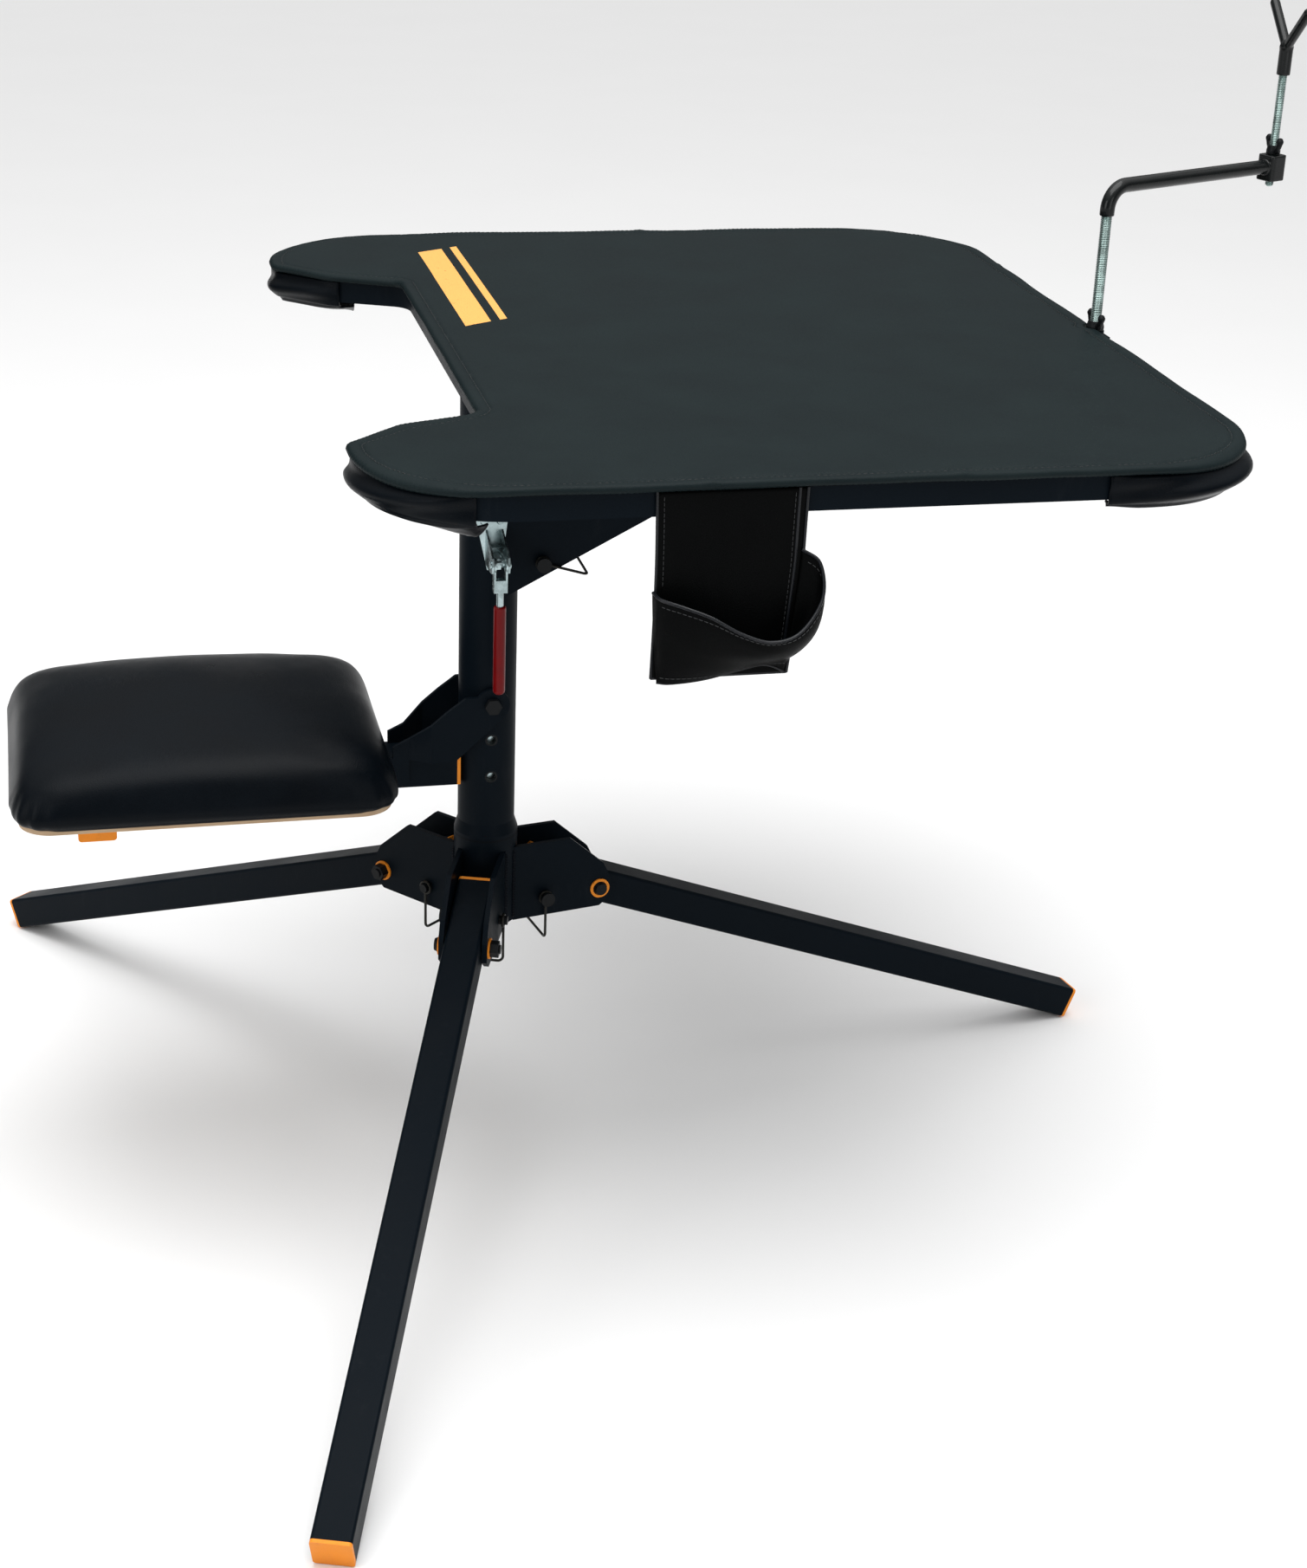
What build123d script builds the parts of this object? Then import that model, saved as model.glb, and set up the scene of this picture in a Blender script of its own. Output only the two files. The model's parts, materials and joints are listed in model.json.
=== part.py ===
"""Three-legged swivel field bench: folding tripod hub, turning column with a
folding seat, notched padded table, accessory pouch and an adjustable fork rest.

Frame: origin on the column axis at floor level, +X from the seat to the table
front, +Y to the user's left, +Z up.  Millimetres.
"""
from build123d import *
from math import cos, degrees, radians, sin
import os

# ---------------------------------------------------------------- driving sizes
TUBE = 31.75             # square tube of the legs and the seat beam
TUBE_WALL = 1.6
TUBE_CORNER = 3.0        # outside corner radius of the square tube
PLUG_LIP = 3.0           # flange of a push-in end plug
RUN = 0.05               # radial clearance of a running fit
GAP = 0.3                # clearance between parts of different bodies

LEG_AZIMUTHS = (10.65, 130.65, 250.65)
LEG_SLOPE = 22.7         # degrees below horizontal
LEG_REACH = 578.6        # pivot to the foot's end face
LEG_TAIL = 67.2          # pivot to the inner end face
PIVOT_R = 104.0          # column axis to a leg's pivot
PIVOT_Z = LEG_REACH * sin(radians(LEG_SLOPE)) + TUBE / 2 * cos(radians(LEG_SLOPE))

MAST_R = 19.05           # fixed inner mast
POST_R = 25.4            # turning column
POST_WALL = 2.0
HUB_R = 28.6             # hub socket
HUB_BOTTOM = 219.0
HUB_TOP = 303.0
PLATE = 4.5              # leg bracket plate
PLATE_IN = 17.0          # inner face of a bracket plate from the leg's centre plane
PLATE_OUT = PLATE_IN + PLATE
WASHER = 1.5
BOLT_R = 4.0
PIN_R = 4.0
PIN_REACH = 29.0         # half length of a lock pin
WIRE_R = 1.2             # spring wire of the pin bails
BAIL_HALF = 25.2         # centre plane to a bail's side wire
BAIL_DROP = 41.0         # pin axis to the bail's cross wire

POST_BOTTOM = HUB_TOP + 2.0
POST_TOP = 700.0
SEAT_PIVOT_Z = 436.0
SEAT_HOLE_PITCH = 35.0

TABLE_YC = 85.0          # table centre line, left of the column axis
TABLE_BACK = -147.0      # ear tips
TABLE_FRONT = 570.0
TABLE_HALF = 423.0
CORNER_R = 115.0
RAIL = 19.05
RAIL_WALL = 1.5
RAIL_Z = 703.5
RAIL_TOP = RAIL_Z + RAIL
RAIL_INSET = 9.0         # pad edge to the rail's outer face
PANEL = 1.5
PAD_Z = RAIL_TOP + PANEL + GAP
PAD = 6.7
NOTCH_BACK = -34.0
NOTCH_HALF = 220.0       # half width at the notch's back edge
NOTCH_FLARE = 248.0      # half width where the flare begins
NOTCH_MOUTH = 292.0      # half width at the ear tips

BEAM_Z = 355.5           # underside of the seat beam
SEAT_X = -253.0          # middle of the seat
SEAT_LONG = 330.0
SEAT_WIDE = 300.0
CROSS_X = -343.0

REST_X = 572.0           # axis of the rest's rod, just off the front rail
ROD_R = 5.0
ARM_AZIMUTH = 24.2
ARM_LONG = 216.4         # rod axis to yoke rod axis
ARM_Z = 856.5
YOKE_ROD_R = 4.0

CLAMP_Z = 575.0          # plunger axis of the toggle clamp
CLAMP_PIVOT = 58.0       # column axis to the handle's pivot
CRANK = 4.5
LINK = 12.0

os.makedirs("parts", exist_ok=True)


def save(builder, name):
    """Label a finished piece and write it."""
    builder.part.label = name
    export_step(builder.part, f"parts/{name}.step")


def radial_plane(azimuth):
    """Vertical plane through the column axis: local x outward, local y up."""
    a = radians(azimuth)
    return Plane(origin=(0, 0, 0), x_dir=(cos(a), sin(a), 0), z_dir=(sin(a), -cos(a), 0))


def leg_point(along, above=0.0):
    """Radius and height of a point given along a leg and square to it."""
    s = radians(LEG_SLOPE)
    return (PIVOT_R + along * cos(s) + above * sin(s), PIVOT_Z - along * sin(s) + above * cos(s))


def leg_section(azimuth, along):
    """Plane square to a leg, facing down the leg."""
    a, s = radians(azimuth), radians(LEG_SLOPE)
    r, z = leg_point(along)
    return Plane(origin=(r * cos(a), r * sin(a), z), x_dir=(-sin(a), cos(a), 0),
                 z_dir=(cos(a) * cos(s), sin(a) * cos(s), -sin(s)))


PIN_ALONG = -50.6        # lock pin's place along the leg, just under the tube
PIN_AT = leg_point(PIN_ALONG, -(TUBE / 2 + GAP + PIN_R))


# ---------------------------------------------------------------- tripod hub
with BuildPart() as hub_socket:
    with BuildSketch(Plane.XY.offset(HUB_BOTTOM)):
        Circle(HUB_R)
        Circle(MAST_R, mode=Mode.SUBTRACT)
    extrude(amount=HUB_TOP - HUB_BOTTOM)
    chamfer(hub_socket.edges().filter_by(GeomType.CIRCLE).group_by(Axis.Z)[0], 1.0)
save(hub_socket, "hub_socket")

MAST_TOP = 666.0
with BuildPart() as inner_mast:
    with BuildSketch(Plane.XY.offset(HUB_BOTTOM)):
        Circle(MAST_R)
        Circle(MAST_R - 2.0, mode=Mode.SUBTRACT)
    extrude(amount=MAST_TOP - HUB_BOTTOM)
save(inner_mast, "inner_mast")

with BuildPart() as thrust_washer:
    with BuildSketch(Plane.XY.offset(HUB_TOP)):
        Circle(HUB_R)
        Circle(MAST_R + RUN, mode=Mode.SUBTRACT)
    extrude(amount=2.0 - RUN)
save(thrust_washer, "thrust_washer")

BRACKET_TOP = 292.0
BRACKET_OUT = 115.0
with BuildPart() as hub_brackets:
    for azimuth in LEG_AZIMUTHS:
        for face in (PLATE_IN, -PLATE_OUT):
            with BuildSketch(radial_plane(azimuth).offset(face)):
                with BuildLine():
                    Polyline((8, HUB_BOTTOM), (PIVOT_R, HUB_BOTTOM + 1), (BRACKET_OUT, PIVOT_Z - 9),
                             (BRACKET_OUT, PIVOT_Z + 9), (107, 263), (75, BRACKET_TOP),
                             (8, BRACKET_TOP), close=True)
                make_face()
                with Locations((PIVOT_R, PIVOT_Z)):
                    Circle(BOLT_R, mode=Mode.SUBTRACT)
                with Locations(PIN_AT):
                    Circle(PIN_R, mode=Mode.SUBTRACT)
            extrude(amount=PLATE)
    with BuildSketch(Plane.XY.offset(HUB_BOTTOM - 1)):
        Circle(HUB_R)
    extrude(amount=HUB_TOP, mode=Mode.SUBTRACT)
save(hub_brackets, "hub_brackets")

HEAD_R = 6.8             # button head of a pivot bolt
with BuildPart() as leg_pivot_bolts:
    for azimuth in LEG_AZIMUTHS:
        side = PLATE_OUT + WASHER
        with BuildSketch(radial_plane(azimuth).offset(-side - 9)):
            with Locations((PIVOT_R, PIVOT_Z)):
                Circle(BOLT_R)
        extrude(amount=2 * side + 9)
        with BuildSketch(radial_plane(azimuth).offset(side)):
            with Locations((PIVOT_R, PIVOT_Z)):
                Circle(HEAD_R)
        extrude(amount=3.6, taper=22)
save(leg_pivot_bolts, "leg_pivot_bolts")

with BuildPart() as leg_pivot_nuts:
    for azimuth in LEG_AZIMUTHS:
        with BuildSketch(radial_plane(azimuth).offset(-PLATE_OUT - WASHER - 7.5)):
            with Locations((PIVOT_R, PIVOT_Z)):
                RegularPolygon(6.5, 6, major_radius=False)
                Circle(BOLT_R, mode=Mode.SUBTRACT)
        extrude(amount=7.5)
save(leg_pivot_nuts, "leg_pivot_nuts")

WASHER_R = 9.2
with BuildPart() as pivot_washers:
    for azimuth in LEG_AZIMUTHS:
        for face in (PLATE_OUT, -PLATE_OUT - WASHER):
            with BuildSketch(radial_plane(azimuth).offset(face)):
                with Locations((PIVOT_R, PIVOT_Z)):
                    Circle(WASHER_R)
                    Circle(BOLT_R, mode=Mode.SUBTRACT)
            extrude(amount=WASHER)
save(pivot_washers, "pivot_washers")


def lock_pin(plane, at):
    """Headed pin square to a plane, reaching PIN_REACH each side of it."""
    with BuildPart() as pin:
        with BuildSketch(plane.offset(-PIN_REACH)):
            with Locations(at):
                Circle(PIN_R)
        extrude(amount=2 * PIN_REACH)
        with BuildSketch(plane.offset(PIN_REACH)):
            with Locations(at):
                Circle(6.5)
        extrude(amount=3)
    return pin.part


def bail(plane, at, lean=0.0):
    """Spring-wire bail hooked round both ends of a lock pin, hanging at an angle to -y."""
    eye = PIN_R + GAP + WIRE_R
    up = plane.y_dir * cos(radians(lean)) - plane.x_dir * sin(radians(lean))
    hung = Plane(origin=plane.from_local_coords((at[0], at[1], 0)),
                 x_dir=plane.z_dir, z_dir=plane.z_dir.cross(up))
    with BuildPart() as wire:
        with BuildLine(hung):
            FilletPolyline((-BAIL_HALF, -eye), (-BAIL_HALF, -BAIL_DROP),
                           (BAIL_HALF, -BAIL_DROP), (BAIL_HALF, -eye), radius=5)
        with BuildSketch(Plane(origin=hung.from_local_coords((-BAIL_HALF, -eye, 0)),
                               z_dir=hung.y_dir * -1)):
            Circle(WIRE_R)
        sweep()
        for end in (-BAIL_HALF, BAIL_HALF):
            with Locations(Plane(origin=hung.from_local_coords((end, 0, 0)),
                                 z_dir=hung.x_dir).location):
                Torus(eye, WIRE_R)
    return wire


with BuildPart() as lock_pins:
    for azimuth in LEG_AZIMUTHS:
        add(lock_pin(radial_plane(azimuth), PIN_AT))
save(lock_pins, "lock_pins")

# ---------------------------------------------------------------- legs and bails
for number, azimuth in enumerate(LEG_AZIMUTHS, 1):
    with BuildPart() as leg_tube:
        with BuildSketch(leg_section(azimuth, -LEG_TAIL + PLUG_LIP)):
            RectangleRounded(TUBE, TUBE, TUBE_CORNER)
            RectangleRounded(TUBE - 2 * TUBE_WALL, TUBE - 2 * TUBE_WALL,
                             TUBE_CORNER - TUBE_WALL, mode=Mode.SUBTRACT)
        extrude(amount=LEG_REACH + LEG_TAIL - 2 * PLUG_LIP)
        with BuildSketch(radial_plane(azimuth).offset(-TUBE)):
            with Locations((PIVOT_R, PIVOT_Z)):
                Circle(BOLT_R + RUN)
        extrude(amount=2 * TUBE, mode=Mode.SUBTRACT)
    save(leg_tube, f"leg_tube_{number}")

    with BuildPart() as leg_plugs:
        for start, inward in ((-LEG_TAIL, 1), (LEG_REACH, -1)):
            lip = leg_section(azimuth, start)
            with BuildSketch(lip):
                RectangleRounded(TUBE, TUBE, TUBE_CORNER)
            extrude(amount=PLUG_LIP * inward)
            with BuildSketch(lip.offset(PLUG_LIP * inward)):
                RectangleRounded(TUBE - 2 * TUBE_WALL, TUBE - 2 * TUBE_WALL,
                                 TUBE_CORNER - TUBE_WALL)
                RectangleRounded(TUBE - 2 * TUBE_WALL - 5, TUBE - 2 * TUBE_WALL - 5,
                                 1.0, mode=Mode.SUBTRACT)
            extrude(amount=16 * inward)
    save(leg_plugs, f"leg_plugs_{number}")

    save(bail(radial_plane(azimuth), PIN_AT), f"leg_pin_bail_{number}")

# ---------------------------------------------------------------- turning column
COLLAR_TOP = POST_BOTTOM + 13.0
CLAMP_HOLE_R = 6.0
CLAMP_SCREWS = [(-9, 604), (5, 604)]
SCREW_R = 2.0
with BuildPart() as post_tube:
    with BuildSketch(Plane.XY.offset(POST_BOTTOM)):
        Circle(POST_R)
    extrude(amount=POST_TOP - POST_BOTTOM)
    with BuildSketch(Plane.XZ):
        with BuildLine():
            Polyline((0, POST_BOTTOM), (HUB_R, POST_BOTTOM), (HUB_R, POST_BOTTOM + 3),
                     (POST_R, COLLAR_TOP), (0, COLLAR_TOP), close=True)
        make_face()
    revolve(axis=Axis.Z)
    with BuildSketch(Plane.XY.offset(POST_BOTTOM)):
        Circle(POST_R - POST_WALL)
    extrude(amount=POST_TOP - POST_BOTTOM, mode=Mode.SUBTRACT)
    with BuildSketch(Plane.XZ.offset(-2 * POST_R)):
        with Locations(*[(0, SEAT_PIVOT_Z - k * SEAT_HOLE_PITCH) for k in range(3)]):
            Circle(5.5)
    extrude(amount=4 * POST_R, mode=Mode.SUBTRACT)
    with BuildSketch(Plane.XZ):
        with Locations((0, CLAMP_Z)):
            Circle(CLAMP_HOLE_R)
        with Locations(*CLAMP_SCREWS):
            Circle(SCREW_R)
    extrude(amount=2 * POST_R, mode=Mode.SUBTRACT)
save(post_tube, "post_tube")

with BuildPart() as post_bushings:
    for bottom in (POST_BOTTOM, 622.0):
        with BuildSketch(Plane.XY.offset(bottom)):
            Circle(POST_R - POST_WALL)
            Circle(MAST_R + RUN, mode=Mode.SUBTRACT)
        extrude(amount=40)
save(post_bushings, "post_bushings")

INSERT_IN = 20.0
with BuildPart() as seat_inserts:
    for side in (1, -1):
        for k in range(3):
            at = (0, SEAT_PIVOT_Z - k * SEAT_HOLE_PITCH)
            with BuildSketch(Plane.XZ.offset(side * INSERT_IN)):
                with Locations(at):
                    Circle(5.5)
                    Circle(BOLT_R, mode=Mode.SUBTRACT)
            extrude(amount=side * (POST_R - INSERT_IN - GAP))
save(seat_inserts, "seat_inserts")

# ---------------------------------------------------------------- folding seat
SEAT_PLATE = 4.0
SEAT_PLATE_IN = POST_R + GAP + 0.4      # inner face beside the column
BEAM_END = -POST_R - GAP                # the beam's end plug bears on the column here
BEAM_TOP = BEAM_Z + TUBE
BEAM_HALF = TUBE / 2
ARM_BEND = (-54.0, -72.0)               # the cheeks step in to the beam between these
ARM_LOW = BEAM_TOP - 3.0
ARM_FAR = -122.0
with BuildPart() as seat_arm_plates:
    for side in (1, -1):
        plan = [(16, SEAT_PLATE_IN), (ARM_BEND[0], SEAT_PLATE_IN), (ARM_BEND[1], BEAM_HALF),
                (ARM_FAR, BEAM_HALF), (ARM_FAR, BEAM_HALF + SEAT_PLATE),
                (ARM_BEND[1], BEAM_HALF + SEAT_PLATE),
                (ARM_BEND[0], SEAT_PLATE_IN + SEAT_PLATE), (16, SEAT_PLATE_IN + SEAT_PLATE)]
        with BuildSketch(Plane.XY.offset(BEAM_Z)):
            with BuildLine():
                Polyline(*[(x, side * y) for x, y in plan], close=True)
            make_face()
        extrude(amount=100)
    with BuildSketch(Plane.XZ.offset(-40)):
        with BuildLine():
            Polyline((ARM_FAR, BEAM_Z + 5), (ARM_BEND[1], BEAM_Z + 5), (ARM_BEND[1], ARM_LOW),
                     (-33, ARM_LOW), (11, SEAT_PIVOT_Z - 10.5), (11, SEAT_PIVOT_Z + 10),
                     (-24, 443), (-40, 431), (ARM_BEND[0], 419), (ARM_BEND[1], 404), (-86, 397),
                     (-86, BEAM_TOP - 1), (ARM_FAR, BEAM_TOP - 1), close=True)
        make_face()
        with Locations((0, SEAT_PIVOT_Z)):
            Circle(15)
            Circle(BOLT_R + RUN, mode=Mode.SUBTRACT)
    extrude(amount=80, mode=Mode.INTERSECT)
save(seat_arm_plates, "seat_arm_plates")

with BuildPart() as seat_pivot_bolts:
    for side in (1, -1):
        outer = SEAT_PLATE_IN + SEAT_PLATE
        with BuildSketch(Plane.XZ.offset(side * INSERT_IN)):
            with Locations((0, SEAT_PIVOT_Z)):
                Circle(BOLT_R)
        extrude(amount=side * (outer + GAP - INSERT_IN))
        with BuildSketch(Plane.XZ.offset(side * (outer + GAP))):
            with Locations((0, SEAT_PIVOT_Z)):
                RegularPolygon(6.5, 6, major_radius=False)
        extrude(amount=side * 5.3)
save(seat_pivot_bolts, "seat_pivot_bolts")

CROSS_HALF = 86.0
BEAM_FAR = CROSS_X + TUBE / 2
with BuildPart() as seat_beam:
    with BuildSketch(Plane.YZ.offset(BEAM_FAR)):
        with Locations((0, BEAM_Z + TUBE / 2)):
            RectangleRounded(TUBE, TUBE, TUBE_CORNER)
            RectangleRounded(TUBE - 2 * TUBE_WALL, TUBE - 2 * TUBE_WALL,
                             TUBE_CORNER - TUBE_WALL, mode=Mode.SUBTRACT)
    extrude(amount=BEAM_END - PLUG_LIP - BEAM_FAR)
save(seat_beam, "seat_beam")

with BuildPart() as seat_cross_tube:
    with BuildSketch(Plane.XZ.offset(-CROSS_HALF + PLUG_LIP)):
        with Locations((CROSS_X, BEAM_Z + TUBE / 2)):
            RectangleRounded(TUBE, TUBE, TUBE_CORNER)
            RectangleRounded(TUBE - 2 * TUBE_WALL, TUBE - 2 * TUBE_WALL,
                             TUBE_CORNER - TUBE_WALL, mode=Mode.SUBTRACT)
    extrude(amount=2 * (CROSS_HALF - PLUG_LIP))
save(seat_cross_tube, "seat_cross_tube")


def end_plug(face):
    """Push-in plug: its flange stands on the given plane and its skirt runs with the normal."""
    bore = TUBE - 2 * TUBE_WALL
    with BuildPart() as plug:
        with BuildSketch(face):
            RectangleRounded(TUBE, TUBE, TUBE_CORNER)
        extrude(amount=PLUG_LIP)
        with BuildSketch(face.offset(PLUG_LIP)):
            RectangleRounded(bore, bore, TUBE_CORNER - TUBE_WALL)
            RectangleRounded(bore - 5, bore - 5, 1.0, mode=Mode.SUBTRACT)
        extrude(amount=16)
    return plug.part


with BuildPart() as seat_plugs:
    mid = BEAM_Z + TUBE / 2
    add(end_plug(Plane(origin=(BEAM_END, 0, mid), x_dir=(0, 1, 0), z_dir=(-1, 0, 0))))
    add(end_plug(Plane(origin=(CROSS_X, -CROSS_HALF, mid), x_dir=(1, 0, 0), z_dir=(0, 1, 0))))
    add(end_plug(Plane(origin=(CROSS_X, CROSS_HALF, mid), x_dir=(1, 0, 0), z_dir=(0, -1, 0))))
save(seat_plugs, "seat_plugs")

BOARD = 12.0
with BuildPart() as seat_board:
    with BuildSketch(Plane.XY.offset(BEAM_TOP)):
        with Locations((SEAT_X, 0)):
            RectangleRounded(SEAT_LONG - 24, SEAT_WIDE - 24, 28)
    extrude(amount=BOARD)
    with BuildSketch(Plane.XY.offset(BEAM_TOP)):
        with Locations((CROSS_X, 60), (CROSS_X, -60), (-150, 0), (-250, 0)):
            Circle(3.2)
    extrude(amount=BOARD - 3, mode=Mode.SUBTRACT)
save(seat_board, "seat_board")

CUSHION_TOP = 455.0
CUSHION_LOW = BEAM_TOP + 1.0
with BuildPart() as seat_cushion:
    with BuildSketch(Plane.XY.offset(CUSHION_LOW)):
        with Locations((SEAT_X, 0)):
            RectangleRounded(SEAT_LONG, SEAT_WIDE, 38)
    extrude(amount=CUSHION_TOP - CUSHION_LOW)
    top = seat_cushion.faces().sort_by(Axis.Z)[-1]
    fillet(top.edges(), 22)
    fillet(seat_cushion.faces().sort_by(Axis.Z)[0].edges(), 7)
    with BuildSketch(Plane.XY.offset(CUSHION_LOW)):
        with Locations((SEAT_X, 0)):
            RectangleRounded(SEAT_LONG - 24, SEAT_WIDE - 24, 28)
    extrude(amount=BEAM_TOP + BOARD - CUSHION_LOW, mode=Mode.SUBTRACT)
save(seat_cushion, "seat_cushion")

# ---------------------------------------------------------------- table head
GUSSET = 3.5
GUSSET_IN = 19.0
GUSSET_LOW = 531.5
GUSSET_FAR = 300.0
HEAD_PIN_AT = (43.0, 563.0)
with BuildPart() as gusset_plates:
    for face in (GUSSET_IN, -GUSSET_IN - GUSSET):
        with BuildSketch(Plane.XZ.offset(face)):
            with BuildLine():
                Polyline((8, GUSSET_LOW), (GUSSET_FAR, 686), (GUSSET_FAR, RAIL_Z),
                         (8, RAIL_Z), close=True)
            make_face()
            with Locations(HEAD_PIN_AT):
                Circle(PIN_R, mode=Mode.SUBTRACT)
        extrude(amount=GUSSET)
    with BuildSketch(Plane.XY.offset(GUSSET_LOW - 10)):
        Circle(POST_R)
    extrude(amount=POST_TOP + 3.5 - GUSSET_LOW + 10, mode=Mode.SUBTRACT)
save(gusset_plates, "gusset_plates")

with BuildPart() as head_plate:
    with BuildSketch(Plane.XY.offset(POST_TOP)):
        with Locations((0, 0)):
            Circle(POST_R)
    extrude(amount=RAIL_Z - POST_TOP)
    with BuildSketch(Plane.XY.offset(POST_TOP)):
        Circle(POST_R - POST_WALL)
        Circle(POST_R - POST_WALL - 4, mode=Mode.SUBTRACT)
    extrude(amount=-28)
save(head_plate, "head_plate")

LUG_HALF = GUSSET_IN
with BuildPart() as pin_lug:
    with BuildSketch(Plane.XZ.offset(-LUG_HALF)):
        with BuildLine():
            Polyline((10, 552), (34, 552), (55, 565), (55, 577), (10, 577), close=True)
        make_face()
        with Locations(HEAD_PIN_AT):
            Circle(PIN_R, mode=Mode.SUBTRACT)
    extrude(amount=2 * LUG_HALF)
    with BuildSketch(Plane.XY.offset(540)):
        Circle(POST_R)
    extrude(amount=50, mode=Mode.SUBTRACT)
save(pin_lug, "pin_lug")

with BuildPart() as head_pin:
    add(lock_pin(Plane.XZ, HEAD_PIN_AT))
save(head_pin, "head_pin")

BAIL_LEAN = 73.7         # the head pin's bail stands out to the front
save(bail(Plane.XZ, HEAD_PIN_AT, BAIL_LEAN), "head_pin_bail")


# ---------------------------------------------------------------- table
def table_outline(inset=0.0):
    """Notched table outline on XY, symmetric about the table's centre line."""
    half = [(TABLE_FRONT, TABLE_HALF, CORNER_R), (TABLE_BACK, TABLE_HALF, CORNER_R),
            (TABLE_BACK, NOTCH_MOUTH, 14), (-100, NOTCH_FLARE, 40), (NOTCH_BACK, NOTCH_HALF, 14)]
    whole = half + [(x, -y, r) for x, y, r in reversed(half)]
    with BuildSketch() as outline:
        with BuildLine():
            FilletPolyline(*[(x, TABLE_YC + y) for x, y, r in whole],
                           radius=[r for x, y, r in whole], close=True)
        make_face()
        if inset:
            offset(amount=-inset, mode=Mode.REPLACE)
    return outline.sketch


with BuildPart() as rail_ring:
    with BuildSketch(Plane.XY.offset(RAIL_Z)):
        add(table_outline(RAIL_INSET))
        add(table_outline(RAIL_INSET + RAIL), mode=Mode.SUBTRACT)
    extrude(amount=RAIL)
    with BuildSketch(Plane.XY.offset(RAIL_Z + RAIL_WALL)):
        add(table_outline(RAIL_INSET + RAIL_WALL))
        add(table_outline(RAIL_INSET + RAIL - RAIL_WALL), mode=Mode.SUBTRACT)
    extrude(amount=RAIL - 2 * RAIL_WALL, mode=Mode.SUBTRACT)

BEND_FRONT = TABLE_FRONT - CORNER_R
BEND_BACK = TABLE_BACK + CORNER_R
TALL = 60.0


def ring_piece(name, x0, x1, y0, y1):
    """Length of the perimeter rail inside a rectangle given from the table's centre line."""
    with BuildPart() as piece:
        add(rail_ring.part)
        with Locations(((x0 + x1) / 2, TABLE_YC + (y0 + y1) / 2, RAIL_Z + RAIL / 2)):
            Box(x1 - x0, y1 - y0, TALL, mode=Mode.INTERSECT)
    save(piece, name)


FAR_OUT = 600.0
NOTCH_CUT = NOTCH_HALF + RAIL_INSET + RAIL + 20
ring_piece("front_rail_bend", BEND_FRONT, FAR_OUT, -FAR_OUT, FAR_OUT)
ring_piece("notch_rail", BEND_BACK, 0, -NOTCH_CUT, NOTCH_CUT)
ring_piece("ear_rail_right", -FAR_OUT, BEND_BACK, -FAR_OUT, 0)
ring_piece("ear_rail_left", -FAR_OUT, BEND_BACK, 0, FAR_OUT)
RAIL_OUT = TABLE_HALF - RAIL_INSET       # centre line to a side rail's outer face
with BuildPart() as side_rails:
    for low in (-RAIL_OUT, RAIL_OUT - RAIL):
        with BuildSketch(Plane.YZ.offset(BEND_BACK)):
            with Locations((TABLE_YC + low + RAIL / 2, RAIL_Z + RAIL / 2)):
                Rectangle(RAIL, RAIL)
                Rectangle(RAIL - 2 * RAIL_WALL, RAIL - 2 * RAIL_WALL, mode=Mode.SUBTRACT)
        extrude(amount=BEND_FRONT - BEND_BACK)
save(side_rails, "side_rails")

CENTRE_RAIL_Y = 20.75                    # over the gusset plates, each side of the column
NOTCH_RAIL_FRONT = NOTCH_BACK + RAIL_INSET + RAIL
FRONT_RAIL_BACK = TABLE_FRONT - RAIL_INSET - RAIL
with BuildPart() as centre_rails:
    for y in (-CENTRE_RAIL_Y, CENTRE_RAIL_Y):
        with BuildSketch(Plane.YZ.offset(NOTCH_RAIL_FRONT)):
            with Locations((y, RAIL_Z + RAIL / 2)):
                Rectangle(RAIL, RAIL)
                Rectangle(RAIL - 2 * RAIL_WALL, RAIL - 2 * RAIL_WALL, mode=Mode.SUBTRACT)
        extrude(amount=FRONT_RAIL_BACK - NOTCH_RAIL_FRONT)
save(centre_rails, "centre_rails")

CROSS_RAIL_X = 300.0
with BuildPart() as cross_rails:
    for start, end in ((TABLE_YC - RAIL_OUT + RAIL, -CENTRE_RAIL_Y - RAIL / 2),
                       (CENTRE_RAIL_Y + RAIL / 2, TABLE_YC + RAIL_OUT - RAIL)):
        with BuildSketch(Plane.XZ.offset(-start)):
            with Locations((CROSS_RAIL_X, RAIL_Z + RAIL / 2)):
                Rectangle(RAIL, RAIL)
                Rectangle(RAIL - 2 * RAIL_WALL, RAIL - 2 * RAIL_WALL, mode=Mode.SUBTRACT)
        extrude(amount=start - end)
save(cross_rails, "cross_rails")

with BuildPart() as table_panel:
    with BuildSketch(Plane.XY.offset(RAIL_TOP)):
        add(table_outline(RAIL_INSET))
    extrude(amount=PANEL)
save(table_panel, "table_panel")

COLLAR_R = 8.5           # collar of the rest socket, standing in a bite out of the pad
with BuildPart() as table_pad:
    with BuildSketch(Plane.XY.offset(PAD_Z)):
        add(table_outline())
        with Locations((REST_X, TABLE_YC)):
            Circle(COLLAR_R + 1.5, mode=Mode.SUBTRACT)
    extrude(amount=PAD)
save(table_pad, "table_pad")

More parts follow.
